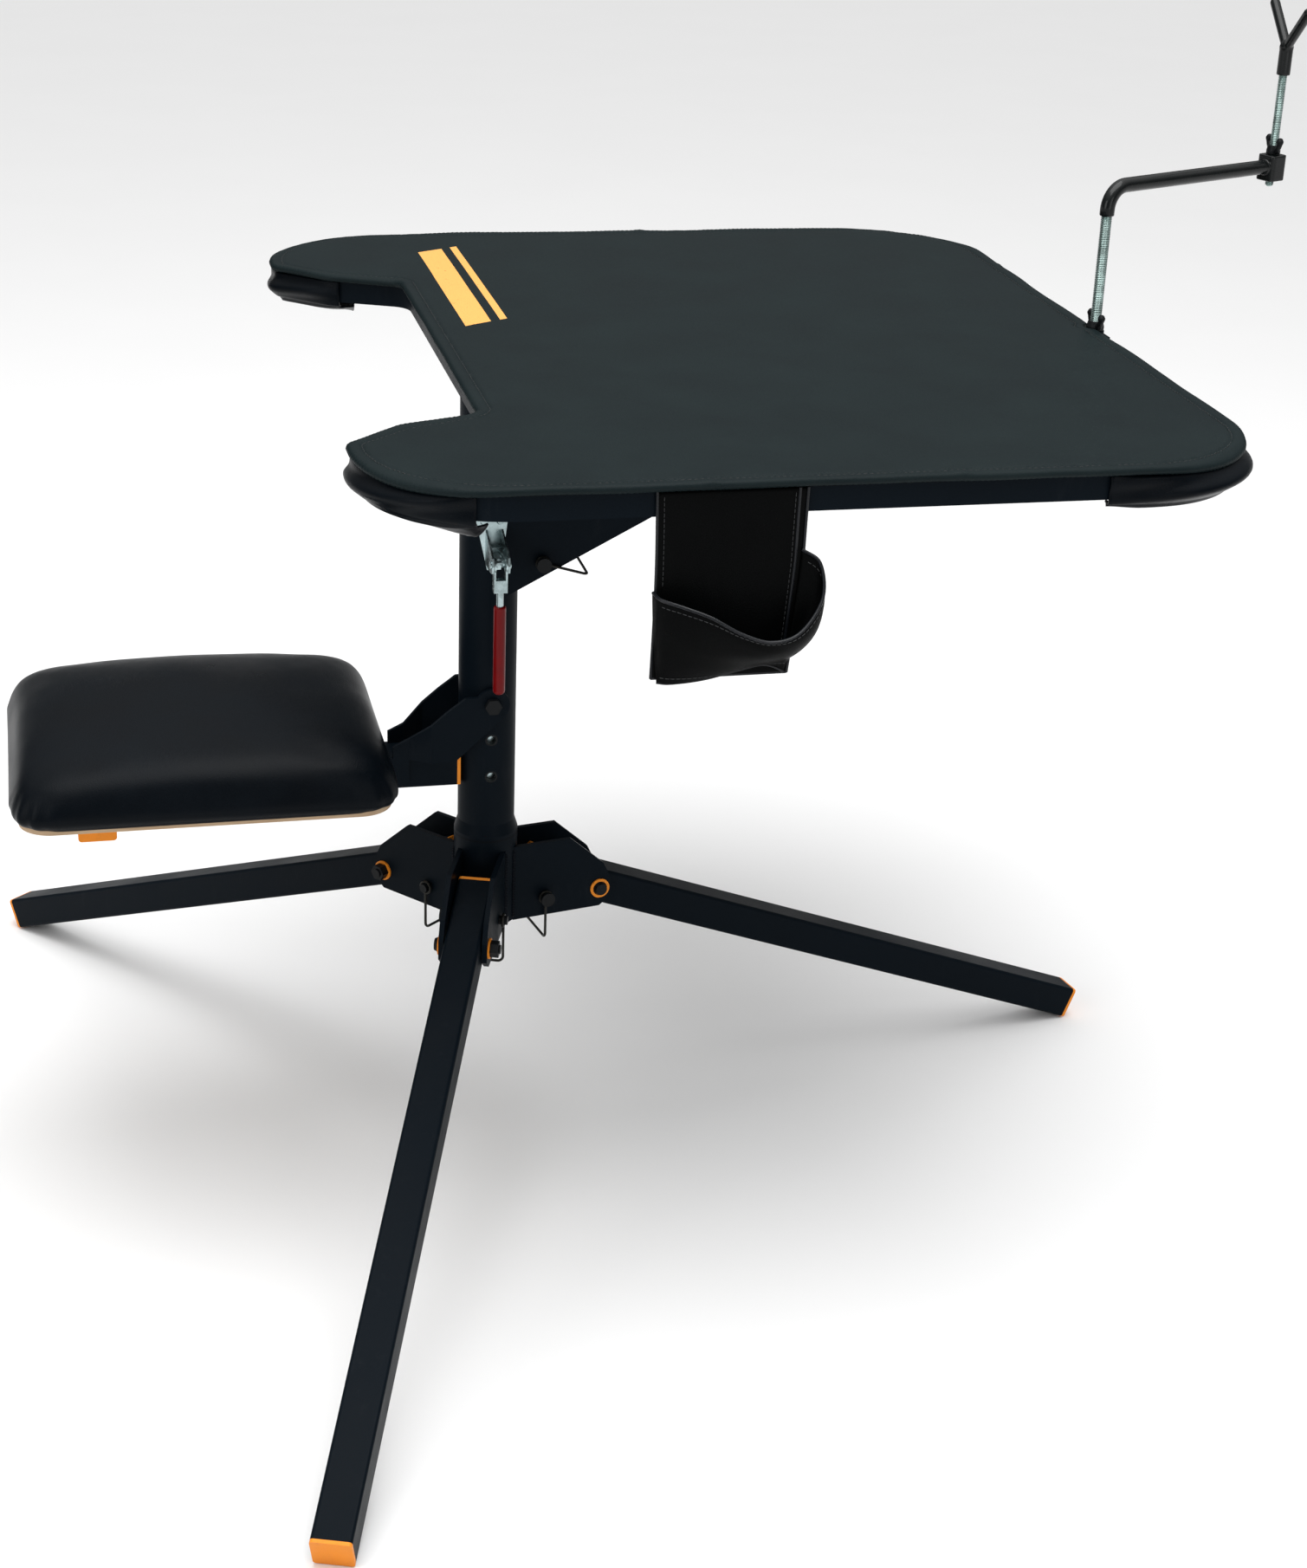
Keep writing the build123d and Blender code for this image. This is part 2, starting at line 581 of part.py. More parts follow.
POCKET_SKIN = 2.0
POCKET_Z = 688.0                         # underside of a corner pocket's flap
POCKET_REACH = 150.0                     # how far a pocket runs along the edges
POCKET_CLEAR = 0.6
with BuildPart() as corner_pockets:
    wall = RAIL_INSET - POCKET_CLEAR
    with BuildSketch(Plane.XY.offset(POCKET_Z)):
        add(table_outline(wall - POCKET_SKIN))
    extrude(amount=RAIL_TOP - POCKET_Z)
    with BuildSketch(Plane.XY.offset(POCKET_Z + POCKET_SKIN)):
        add(table_outline(wall))
    extrude(amount=RAIL_TOP - POCKET_Z, mode=Mode.SUBTRACT)
    with BuildSketch(Plane.XY.offset(POCKET_Z)):
        for x, inward_x in ((TABLE_FRONT, -1), (TABLE_BACK, 1)):
            for inward_y in (1, -1):
                y = TABLE_YC - inward_y * TABLE_HALF
                side = POCKET_REACH * 0.86
                corner = [(-9, -9), (POCKET_REACH, -9), (POCKET_REACH, 40), (40, side), (-9, side)]
                with BuildLine():
                    Polyline(*[(x + inward_x * u, y + inward_y * v) for u, v in corner],
                             close=True)
                make_face()
    extrude(amount=RAIL_TOP - POCKET_Z, mode=Mode.INTERSECT)
save(corner_pockets, "corner_pockets")

# ---------------------------------------------------------------- pouch
POUCH_CLOTH = 2.0
SIDE_FACE = TABLE_YC - RAIL_OUT          # outer face of the right side rail
STRAP_Y = SIDE_FACE - 0.5
POUCH_LEFT = 67.0
POUCH_RIGHT = 182.0
POUCH_LOW = 577.0
MOUTH_Z = 640.0
POUCH_DEEP = 34.0
with BuildPart() as pouch_strap:
    with BuildSketch(Plane.XZ.offset(-STRAP_Y)):
        with BuildLine():
            Polyline((POUCH_LEFT, POUCH_LOW + 4), (POUCH_RIGHT, POUCH_LOW + 6),
                     (POUCH_RIGHT, RAIL_TOP), (POUCH_LEFT, RAIL_TOP), close=True)
        make_face()
    extrude(amount=POUCH_CLOTH)
save(pouch_strap, "pouch_strap")

BAG_BACK = STRAP_Y - POUCH_CLOTH - 0.1
with BuildPart() as pouch_bag:
    middle = (POUCH_LEFT + POUCH_RIGHT) / 2
    half = (POUCH_RIGHT - POUCH_LEFT) / 2 + 4
    for shrink, floor in ((0, 0), (POUCH_CLOTH, POUCH_CLOTH)):
        with BuildSketch(Plane.XY.offset(POUCH_LOW + floor)):
            with BuildLine():
                FilletPolyline((middle - half + shrink, BAG_BACK - shrink),
                               (middle - half + shrink, BAG_BACK - POUCH_DEEP + shrink),
                               (middle + half - shrink, BAG_BACK - POUCH_DEEP + shrink),
                               (middle + half - shrink, BAG_BACK - shrink),
                               radius=20 - shrink)
                Line((middle + half - shrink, BAG_BACK - shrink),
                     (middle - half + shrink, BAG_BACK - shrink))
            make_face()
        extrude(amount=MOUTH_Z - POUCH_LOW, mode=Mode.SUBTRACT if shrink else Mode.ADD)
save(pouch_bag, "pouch_bag")

# ---------------------------------------------------------------- adjustable rest
COLLAR_Z = 727.0                         # top of the rest socket's collar
SOCKET_HALF = REST_X - FRONT_RAIL_BACK - RAIL


def rest_plane(z):
    """Horizontal plane centred on the rest's rod."""
    return Plane(origin=(REST_X, TABLE_YC, z))


with BuildPart() as rest_socket:
    with BuildSketch(rest_plane(RAIL_Z)):
        Rectangle(2 * SOCKET_HALF, 22)
    extrude(amount=RAIL)
    with BuildSketch(rest_plane(RAIL_TOP)):
        Circle(COLLAR_R)
    extrude(amount=COLLAR_Z - RAIL_TOP)
    with BuildSketch(rest_plane(RAIL_Z)):
        Circle(ROD_R + RUN)
    extrude(amount=COLLAR_Z - RAIL_Z, mode=Mode.SUBTRACT)
save(rest_socket, "rest_socket")


def wing_nut(seat, bore, boss):
    """Wing nut standing on a plane, its two wings spread along the plane's y."""
    with BuildPart() as nut:
        with BuildSketch(seat):
            Circle(boss)
        extrude(amount=7.5, taper=8)
        with BuildSketch(Plane(origin=seat.origin - seat.x_dir * 1.8, x_dir=seat.y_dir,
                               z_dir=seat.x_dir)):
            for side in (1, -1):
                with BuildLine():
                    Polyline((side * 3.0, 1), (side * (boss - 1), 1), (side * (boss + 8), 14),
                             (side * (boss + 7), 17), (side * (boss + 3), 17),
                             (side * 5.5, 7.5), (side * 3.0, 7.5), close=True)
                make_face()
        extrude(amount=3.6)
        with BuildSketch(seat):
            Circle(bore)
        extrude(amount=20, mode=Mode.SUBTRACT)
    return nut


save(wing_nut(rest_plane(COLLAR_Z + GAP), ROD_R + RUN, 8.0), "rest_wing_nut")

ROD_LOW = 600.0
SLEEVE_LOW = 831.0                       # underside of the arm's sleeve
SLEEVE_DEEP = 12.0
with BuildPart() as rest_rod:
    with BuildSketch(rest_plane(ROD_LOW)):
        Circle(ROD_R)
    extrude(amount=SLEEVE_LOW + SLEEVE_DEEP - GAP - ROD_LOW)
    chamfer(rest_rod.edges().filter_by(GeomType.CIRCLE), 0.8)
save(rest_rod, "rest_rod")

ARM_R = 6.7
ELBOW_LOW = 836.0
BLOCK = 20.0
BLOCK_LOW = 843.6
BLOCK_TOP = 867.4
arm_a = radians(ARM_AZIMUTH)
arm_out = Vector(cos(arm_a), sin(arm_a), 0)
rod_foot = Vector(REST_X, TABLE_YC, 0)
yoke_foot = rod_foot + arm_out * ARM_LONG


def yoke_plane(z):
    """Horizontal plane centred on the yoke's rod."""
    return Plane(origin=yoke_foot + Vector(0, 0, z))


with BuildPart() as rest_arm:
    bend = ARM_Z - ELBOW_LOW
    with BuildLine(Plane(origin=rod_foot, x_dir=arm_out, z_dir=arm_out.cross(Vector(0, 0, 1)))):
        Line((0, SLEEVE_LOW), (0, ELBOW_LOW))
        JernArc((0, ELBOW_LOW), (0, 1), bend, -90)
        Line((bend, ARM_Z), (ARM_LONG - BLOCK / 2 + 1, ARM_Z))
    with BuildSketch(rest_plane(SLEEVE_LOW)):
        Circle(ARM_R)
    sweep()
    with BuildSketch(Plane(origin=yoke_foot + Vector(0, 0, BLOCK_LOW), x_dir=arm_out)):
        RectangleRounded(BLOCK, BLOCK, 4)
    extrude(amount=BLOCK_TOP - BLOCK_LOW)
    with BuildSketch(yoke_plane(BLOCK_LOW)):
        Circle(YOKE_ROD_R + RUN)
    extrude(amount=BLOCK_TOP - BLOCK_LOW, mode=Mode.SUBTRACT)
    with BuildSketch(rest_plane(SLEEVE_LOW)):
        Circle(ROD_R + RUN)
    extrude(amount=SLEEVE_DEEP, mode=Mode.SUBTRACT)
save(rest_arm, "rest_arm")

save(wing_nut(yoke_plane(BLOCK_TOP + GAP), YOKE_ROD_R + RUN, 6.5), "yoke_wing_nut")

YOKE_ROD_LOW = 838.0
STEM_LOW = 940.0
STEM_DEEP = 12.0
with BuildPart() as yoke_rod:
    with BuildSketch(yoke_plane(YOKE_ROD_LOW)):
        Circle(YOKE_ROD_R)
    extrude(amount=STEM_LOW + STEM_DEEP - GAP - YOKE_ROD_LOW)
    chamfer(yoke_rod.edges().filter_by(GeomType.CIRCLE), 0.8)
save(yoke_rod, "yoke_rod")

FORK_R = 4.6
FORK_HALF = 37.0                         # rod axis to a fork's tip
FORK_TOP = 1000.0
CROTCH = 965.0
with BuildPart() as yoke:
    with BuildSketch(yoke_plane(STEM_LOW)):
        Circle(6.3)
    extrude(amount=CROTCH - STEM_LOW)
    with Locations(yoke_foot + Vector(0, 0, CROTCH)):
        Sphere(6.6)
    for side in (1, -1):
        crotch = yoke_foot + Vector(0, 0, CROTCH)
        reach = Vector(0, side * (FORK_HALF - 2), FORK_TOP - CROTCH)
        with BuildSketch(Plane(origin=crotch, z_dir=reach)):
            Circle(FORK_R)
        extrude(amount=reach.length)
        with Locations(crotch + reach):
            Sphere(FORK_R)
    with BuildSketch(yoke_plane(STEM_LOW)):
        Circle(YOKE_ROD_R + RUN)
    extrude(amount=STEM_DEEP, mode=Mode.SUBTRACT)
save(yoke, "yoke")

# ---------------------------------------------------------------- toggle clamp
# The clamp stands on the column's right side; "out" below is the distance from the
# column axis towards -Y.
SADDLE_R = POST_R + 2.5
TIP_R = 5.0
TIP_IN = MAST_R + GAP                    # rubber face, just off the inner mast
TIP_OUT = 23.4
GUIDE_FACE = 35.5
GUIDE_STEP = 31.3
PLUNGER_R = 3.5
SIDE_IN = 6.1                            # base side plates
SIDE_OUT = 7.7
YOKE_IN = 4.2                            # handle yoke plates
YOKE_OUT = 5.8
LINK_IN = 2.3
LINK_OUT = 3.9
RIVET_R = 2.0
CRANK_PIN_R = 1.6
TONGUE_PIN_R = 1.5
LINK_SLACK = 1.6                         # the link's hole is a slot's worth wider than its pin
PIN_OUT = CLAMP_PIVOT - CRANK            # crank pin with the clamp shut
TONGUE_OUT = PIN_OUT - LINK              # plunger pin with the clamp shut


def side_slab(x0, x1):
    """Sketch plane facing +X at x0 with local x along +Y; the slab is x1 - x0 thick."""
    return Plane(origin=(x0, 0, 0), x_dir=(0, 1, 0), z_dir=(1, 0, 0)), x1 - x0


def both_sides(near, far):
    """The two slabs from near to far either side of the clamp's middle plane."""
    return (side_slab(near, far), side_slab(-far, -near))


with BuildPart() as clamp_base:
    with BuildSketch(Plane.XZ.offset(POST_R - 10)):
        with BuildLine():
            Polyline((-15, 612), (11.5, 612), (11.5, 602), (6, 560), (-6, 560), (-15, 602),
                     close=True)
        make_face()
    extrude(amount=20)
    with BuildSketch(Plane.XY.offset(550)):
        Circle(SADDLE_R)
        Circle(POST_R, mode=Mode.SUBTRACT)
    extrude(amount=70, mode=Mode.INTERSECT)
    with BuildSketch(Plane.XZ.offset(POST_R + 1)):
        with Locations((0, CLAMP_Z)):
            Rectangle(2 * SIDE_OUT, 15)
    extrude(amount=GUIDE_FACE - POST_R - 1)
    for plane, thick in both_sides(SIDE_IN, SIDE_OUT):
        with BuildSketch(plane):
            with BuildLine():
                Polyline((-27, 566), (-27, 596), (-33, 594), (-62, 582), (-64, 575),
                         (-62, 568.5), (-50, 566), close=True)
            make_face()
            with Locations((-CLAMP_PIVOT, CLAMP_Z)):
                Circle(RIVET_R, mode=Mode.SUBTRACT)
        extrude(amount=thick)
    with BuildSketch(Plane.XZ.offset(POST_R - 2)):
        with Locations((0, CLAMP_Z)):
            Circle(TIP_R + GAP)
    extrude(amount=GUIDE_STEP - POST_R + 2, mode=Mode.SUBTRACT)
    with BuildSketch(Plane.XZ):
        with Locations((0, CLAMP_Z)):
            Circle(PLUNGER_R + RUN)
        with Locations(*CLAMP_SCREWS):
            Circle(SCREW_R)
    extrude(amount=GUIDE_FACE, mode=Mode.SUBTRACT)
    with BuildSketch(Plane.XY.offset(550)):
        Circle(POST_R)
    extrude(amount=70, mode=Mode.SUBTRACT)
save(clamp_base, "clamp_base")

with BuildPart() as clamp_rivets:
    for side in (1, -1):
        for start, end, radius in ((YOKE_IN, SIDE_OUT, RIVET_R), (SIDE_OUT, SIDE_OUT + 1.2, 3.6)):
            low, high = sorted((side * start, side * end))
            plane, thick = side_slab(low, high)
            with BuildSketch(plane):
                with Locations((-CLAMP_PIVOT, CLAMP_Z)):
                    Circle(radius)
            extrude(amount=thick)
save(clamp_rivets, "clamp_rivets")

with BuildPart() as clamp_screws:
    with BuildSketch(Plane.XZ.offset(POST_R - POST_WALL - 1)):
        with Locations(*CLAMP_SCREWS):
            Circle(SCREW_R)
    extrude(amount=SADDLE_R - POST_R + POST_WALL + 1)
    with BuildSketch(Plane.XZ.offset(SADDLE_R)):
        with Locations(*CLAMP_SCREWS):
            Circle(3.6)
    extrude(amount=2.0, taper=25)
save(clamp_screws, "clamp_screws")

HANDLE_ROD_R = 3.0
GRIP_R = 5.25
GRIP_LOW = 458.0
GRIP_TOP = 538.0
with BuildPart() as clamp_handle:
    for plane, thick in both_sides(YOKE_IN, YOKE_OUT):
        with BuildSketch(plane):
            with Locations((-CLAMP_PIVOT, CLAMP_Z)):
                Circle(6.5)
            with Locations((-CLAMP_PIVOT, CLAMP_Z - 12)):
                Rectangle(8, 24)
            with Locations((-CLAMP_PIVOT, CLAMP_Z)):
                Circle(RIVET_R + RUN, mode=Mode.SUBTRACT)
        extrude(amount=thick)
    plane, thick = side_slab(-YOKE_IN, YOKE_IN)
    with BuildSketch(plane):
        with Locations((-CLAMP_PIVOT, CLAMP_Z - 18.5)):
            Rectangle(8, 11)
    extrude(amount=thick)
    plane, thick = side_slab(-YOKE_OUT, YOKE_OUT)
    with BuildSketch(plane):
        with Locations((-PIN_OUT, CLAMP_Z)):
            Circle(CRANK_PIN_R)
    extrude(amount=thick)
    with BuildSketch(Plane(origin=(0, -CLAMP_PIVOT, CLAMP_Z - 20), z_dir=(0, 0, -1))):
        Circle(HANDLE_ROD_R)
    extrude(amount=CLAMP_Z - 20 - GRIP_LOW - 4)
save(clamp_handle, "clamp_handle")

with BuildPart() as clamp_grip:
    with BuildSketch(Plane(origin=(0, -CLAMP_PIVOT, GRIP_LOW))):
        Circle(GRIP_R)
    extrude(amount=GRIP_TOP - GRIP_LOW)
    ends = clamp_grip.edges().filter_by(GeomType.CIRCLE).sort_by(Axis.Z)
    fillet(ends[0], 4.0)
    fillet(ends[-1], 1.2)
    with BuildSketch(Plane(origin=(0, -CLAMP_PIVOT, GRIP_LOW + 4))):
        Circle(HANDLE_ROD_R)
    extrude(amount=GRIP_TOP - GRIP_LOW, mode=Mode.SUBTRACT)
save(clamp_grip, "clamp_grip")

with BuildPart() as clamp_link:
    for plane, thick in both_sides(LINK_IN, LINK_OUT):
        with BuildSketch(plane):
            with Locations((-(PIN_OUT + TONGUE_OUT) / 2, CLAMP_Z)):
                SlotCenterToCenter(LINK, 7.8)
            with Locations((-PIN_OUT, CLAMP_Z)):
                Circle(CRANK_PIN_R + RUN, mode=Mode.SUBTRACT)
            with Locations((-TONGUE_OUT, CLAMP_Z)):
                Circle(TONGUE_PIN_R + LINK_SLACK, mode=Mode.SUBTRACT)
        extrude(amount=thick)
save(clamp_link, "clamp_link")

with BuildPart() as clamp_plunger:
    with BuildSketch(Plane.XZ.offset(TIP_OUT)):
        with Locations((0, CLAMP_Z)):
            Circle(PLUNGER_R)
    extrude(amount=GUIDE_FACE + 0.6 - TIP_OUT)
    plane, thick = side_slab(-2, 2)
    with BuildSketch(plane):
        with Locations((-(GUIDE_FACE + 0.5 + TONGUE_OUT) / 2, CLAMP_Z)):
            Rectangle(TONGUE_OUT - GUIDE_FACE - 0.5, 6.8)
        with Locations((-TONGUE_OUT, CLAMP_Z)):
            Circle(3.4)
    extrude(amount=thick)
    plane, thick = side_slab(-LINK_OUT, LINK_OUT)
    with BuildSketch(plane):
        with Locations((-TONGUE_OUT, CLAMP_Z)):
            Circle(TONGUE_PIN_R)
    extrude(amount=thick)
save(clamp_plunger, "clamp_plunger")

with BuildPart() as plunger_tip:
    with BuildSketch(Plane.XZ.offset(TIP_IN)):
        with Locations((0, CLAMP_Z)):
            Circle(TIP_R)
    extrude(amount=TIP_OUT - TIP_IN)
save(plunger_tip, "plunger_tip")
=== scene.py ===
"""Looks of the folding swivel field bench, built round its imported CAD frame.

Everything is in metres in the frame's own axes: origin on the column axis at floor
level, +X from the seat to the table's front edge, +Y to the sitter's left, +Z up.
"""

import json
from itertools import takewhile
from math import atan2, cos, exp, floor, hypot, pi, radians, sin, sqrt, tan

import bmesh
import bpy
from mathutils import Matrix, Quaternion, Vector, kdtree, noise
from mathutils.geometry import delaunay_2d_cdt


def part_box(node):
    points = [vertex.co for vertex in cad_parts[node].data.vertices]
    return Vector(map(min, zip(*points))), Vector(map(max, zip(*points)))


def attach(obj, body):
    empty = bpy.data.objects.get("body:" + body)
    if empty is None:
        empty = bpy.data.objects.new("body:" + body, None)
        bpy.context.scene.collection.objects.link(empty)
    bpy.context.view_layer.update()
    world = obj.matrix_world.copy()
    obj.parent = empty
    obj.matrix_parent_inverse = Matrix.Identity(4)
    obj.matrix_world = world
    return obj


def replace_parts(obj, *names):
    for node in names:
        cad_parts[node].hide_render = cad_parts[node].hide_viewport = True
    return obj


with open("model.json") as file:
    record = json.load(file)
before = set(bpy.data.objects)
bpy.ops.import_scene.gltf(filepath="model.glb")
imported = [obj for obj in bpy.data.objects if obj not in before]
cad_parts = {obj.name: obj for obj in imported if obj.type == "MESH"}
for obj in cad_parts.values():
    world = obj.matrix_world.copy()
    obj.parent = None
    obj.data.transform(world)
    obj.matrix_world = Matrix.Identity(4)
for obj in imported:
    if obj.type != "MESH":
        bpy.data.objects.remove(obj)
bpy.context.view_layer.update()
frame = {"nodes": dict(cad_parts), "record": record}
nodes = frame["nodes"]

MM = 0.001
UP = Vector((0, 0, 1))
FRONT = Vector((0, -1, 0))      # outward from the right side rail
CLOTH = 1.6 * MM                # thickness of the leatherette sheets


def place(name, data):
    """A new object in the scene."""
    obj = bpy.data.objects.new(name, data)
    bpy.context.scene.collection.objects.link(obj)
    return obj


def as_mesh(name, bm):
    """A mesh made from a bmesh, which is freed."""
    mesh = bpy.data.meshes.new(name)
    bm.to_mesh(mesh)
    bm.free()
    return mesh


# ---- camera
CAMERA_AT = Vector((-0.370, -2.135, 1.312))
CAMERA_LOOK = Vector((0.2179, 0.8880, -0.4050))
CAMERA_ROLL = radians(2.23)
LENS = 60.8              # for the 36 mm side of the upright frame


def make_camera():
    """The camera at the viewing angle of the reference view."""
    camera = place("camera", bpy.data.cameras.new("camera"))
    camera.data.lens = LENS
    camera.data.sensor_width = 36
    camera.data.sensor_fit = "AUTO"
    camera.location = CAMERA_AT
    turn = CAMERA_LOOK.to_track_quat("-Z", "Y") @ Quaternion((0, 0, 1), CAMERA_ROLL)
    camera.rotation_mode = "QUATERNION"
    camera.rotation_quaternion = turn
    bpy.context.scene.camera = camera


make_camera()


# ---- materials
class Paint:
    """A Principled material being made: its sockets, and helpers that hang textures on them."""

    def __init__(self, name, base, roughness, **values):
        self.mat = bpy.data.materials.new(name)
        self.mat.use_nodes = True
        self.tree = self.mat.node_tree
        self.bsdf = self.tree.nodes["Principled BSDF"]
        self.bsdf.inputs["Base Color"].default_value = (*base, 1)
        self.bsdf.inputs["Roughness"].default_value = roughness
        for key, value in values.items():
            self.bsdf.inputs[key.replace("_", " ")].default_value = value
        self.coord = self.tree.nodes.new("ShaderNodeTexCoord").outputs["Object"]

    def node(self, kind, **values):
        """A new node, its plain values set."""
        made = self.tree.nodes.new(kind)
        for key, value in values.items():
            if hasattr(made, key):
                setattr(made, key, value)
            else:
                made.inputs[key.replace("_", " ")].default_value = value
        return made

    def link(self, source, target):
        self.tree.links.new(source, target)

    def stretched(self, scale):
        """Object coordinates scaled by a vector."""
        mapping = self.node("ShaderNodeMapping")
        mapping.inputs["Scale"].default_value = scale
        self.link(self.coord, mapping.inputs["Vector"])
        return mapping.outputs["Vector"]

    def noise(self, scale, detail, rough, vector=None):
        made = self.node("ShaderNodeTexNoise", Scale=scale, Detail=detail, Roughness=rough)
        self.link(vector or self.coord, made.inputs["Vector"])
        return made.outputs["Fac"]

    def cells(self, scale, feature="F1"):
        made = self.node("ShaderNodeTexVoronoi", feature=feature, Scale=scale)
        self.link(self.coord, made.inputs["Vector"])
        return made.outputs["Distance"]

    def remap(self, value, low, high, to_low=0.0, to_high=1.0):
        made = self.node("ShaderNodeMapRange")
        self.link(value, made.inputs["Value"])
        for key, number in (("From Min", low), ("From Max", high),
                            ("To Min", to_low), ("To Max", to_high)):
            made.inputs[key].default_value = number
        return made.outputs["Result"]

    def maths(self, operation, a, b):
        made = self.node("ShaderNodeMath", operation=operation)
        for socket, value in zip(made.inputs, (a, b)):
            if isinstance(value, (int, float)):
                socket.default_value = value
            else:
                self.link(value, socket)
        return made.outputs["Value"]

    def blend(self, fac, a, b):
        """Colour between a and b; each is a colour or a socket."""
        made = self.node("ShaderNodeMix", data_type="RGBA")
        self.link(fac, made.inputs["Factor"])
        for socket, value in ((made.inputs[6], a), (made.inputs[7], b)):
            if isinstance(value, tuple):
                socket.default_value = (*value, 1)
            else:
                self.link(value, socket)
        return made.outputs[2]

    def colour(self, socket):
        self.link(socket, self.bsdf.inputs["Base Color"])

    def rough(self, value, low, high):
        """Roughness from low to high as value goes from 0.3 to 0.7."""
        self.link(self.remap(value, 0.3, 0.7, low, high), self.bsdf.inputs["Roughness"])

    def bump(self, *layers):
        """Bump from (height socket, strength, depth in metres) layers."""
        previous = None
        for height, strength, depth in layers:
            made = self.node("ShaderNodeBump", Strength=strength, Distance=depth)
            self.link(height, made.inputs["Height"])
            if previous:
                self.link(previous, made.inputs["Normal"])
            previous = made.outputs["Normal"]
        self.link(previous, self.bsdf.inputs["Normal"])


def darker(base, k):
    """A colour times a number, which may be over 1."""
    return tuple(c * k for c in base)


def powder_coat(name, base):
    """Satin powder coat: orange peel, faint mottling and rubbed patches."""
    p = Paint(name, base, 0.44, Specular_IOR_Level=0.035)
    mottle = p.noise(9, 4, 0.6)
    peel = p.noise(900, 2, 0.5)
    scuff = p.remap(p.noise(60, 6, 0.7, p.stretched((1, 1, 0.25))), 0.58, 0.72)
    tone = p.blend(mottle, darker(base, 0.8), darker(base, 1.25))
    p.colour(p.blend(p.maths("MULTIPLY", scuff, 0.35), tone, (0.0080, 0.0105, 0.0135)))
    p.rough(mottle, 0.36, 0.50)
    p.bump((peel, 0.22, 0.0003), (mottle, 0.05, 0.0006))
    return p.mat


def leatherette(name, base, light, roughness, grain, specular):
    """Leatherette: pebble grain in cells of about a millimetre, soft shine and mottling."""
    p = Paint(name, base, roughness, Specular_IOR_Level=specular)
    wander = p.noise(14, 4, 0.55)
    pebble = p.cells(grain)
    crease = p.cells(grain * 0.36, "DISTANCE_TO_EDGE")
    fine = p.noise(grain * 2.2, 2, 0.6)
    tone = p.blend(p.remap(wander, 0.3, 0.7), base, light)
    p.colour(p.blend(p.remap(pebble, 0.0, 0.8, 0.0, 0.4), tone, darker(base, 0.55)))
    p.rough(wander, roughness - 0.05, roughness + 0.07)
    p.bump((crease, 0.20, 0.0004), (pebble, 0.35, 0.0003), (fine, 0.12, 0.0002))
    return p


def speckled(name, base, roughness, noise, tones, gloss, depth, span=None, **values):
    """A plain material whose colour, roughness and bump follow one noise.

    tones are its two colours, gloss the two roughnesses, depth the bump's strength and height,
    and span the stretch of noise that the colours are spread over.
    """
    p = Paint(name, base, roughness, **values)
    cloud = p.noise(*noise)
    p.colour(p.blend(p.remap(cloud, *span) if span else cloud, *tones))
    if gloss:
        p.rough(cloud, *gloss)
    p.bump((cloud, *depth))
    return p.mat


def zinc(name, base):
    """Bright zinc plate: cloudy, with faint yellow-green blooms and fine scratches."""
    p = Paint(name, base, 0.28, Metallic=1.0)
    cloud = p.noise(70, 5, 0.65)
    scratch = p.noise(380, 3, 0.6, p.stretched((1, 1, 0.06)))
    p.colour(p.blend(p.remap(cloud, 0.35, 0.68), darker(base, 0.60), darker(base, 1.35)))
    p.rough(cloud, 0.20, 0.40)
    p.bump((scratch, 0.10, 0.0002), (cloud, 0.05, 0.0003))
    return p.mat


def moulded(name, base, roughness, grime, **values):
    """Moulded plastic: fine spark texture, slight colour drift and a little grime."""
    p = Paint(name, base, roughness, **values)
    drift = p.noise(45, 3, 0.5)
    spark = p.noise(2200, 2, 0.6)
    dirt = p.remap(p.noise(130, 6, 0.7), 0.56, 0.78, 0.0, grime)
    tone = p.blend(drift, darker(base, 0.88), darker(base, 1.06))
    p.colour(p.blend(dirt, tone, darker(base, 0.30)))
    p.rough(drift, roughness - 0.05, roughness + 0.08)
    p.bump((spark, 0.15, 0.0002), (drift, 0.05, 0.0004))
    return p.mat


def plywood():
    """Bare birch ply: long grain on the faces and plies along the edges."""
    p = Paint("birch_ply", (0.42, 0.29, 0.17), 0.62)
    grain = p.noise(42, 6, 0.62, p.stretched((0.16, 1, 1)))
    pore = p.noise(900, 2, 0.6, p.stretched((0.05, 1, 1)))
    plies = p.node("ShaderNodeTexWave", bands_direction="Z", Scale=180, Distortion=0.5)
    p.link(p.coord, plies.inputs["Vector"])
    tone = p.blend(p.remap(grain, 0.35, 0.65), (0.34, 0.22, 0.12), (0.52, 0.38, 0.24))
    p.colour(p.blend(p.remap(plies.outputs["Fac"], 0.2, 0.9, 0.0, 0.18), tone, (0.20, 0.12, 0.06)))
    p.rough(grain, 0.55, 0.72)
    p.bump((pore, 0.25, 0.0003), (grain, 0.10, 0.0004))
    return p.mat


def dipped(name, base, roughness, coat):
    """Thick glossy dip coating with a slightly wavy skin."""
    p = Paint(name, base, roughness, Coat_Weight=coat, Coat_Roughness=0.10,
              Specular_IOR_Level=0.12)
    wavy = p.noise(70, 3, 0.5)
    fine = p.noise(700, 2, 0.5)
    p.colour(p.blend(wavy, darker(base, 0.8), darker(base, 1.3)))
    p.rough(wavy, roughness - 0.05, roughness + 0.08)
    p.bump((wavy, 0.16, 0.0010), (fine, 0.05, 0.0002))
    return p.mat


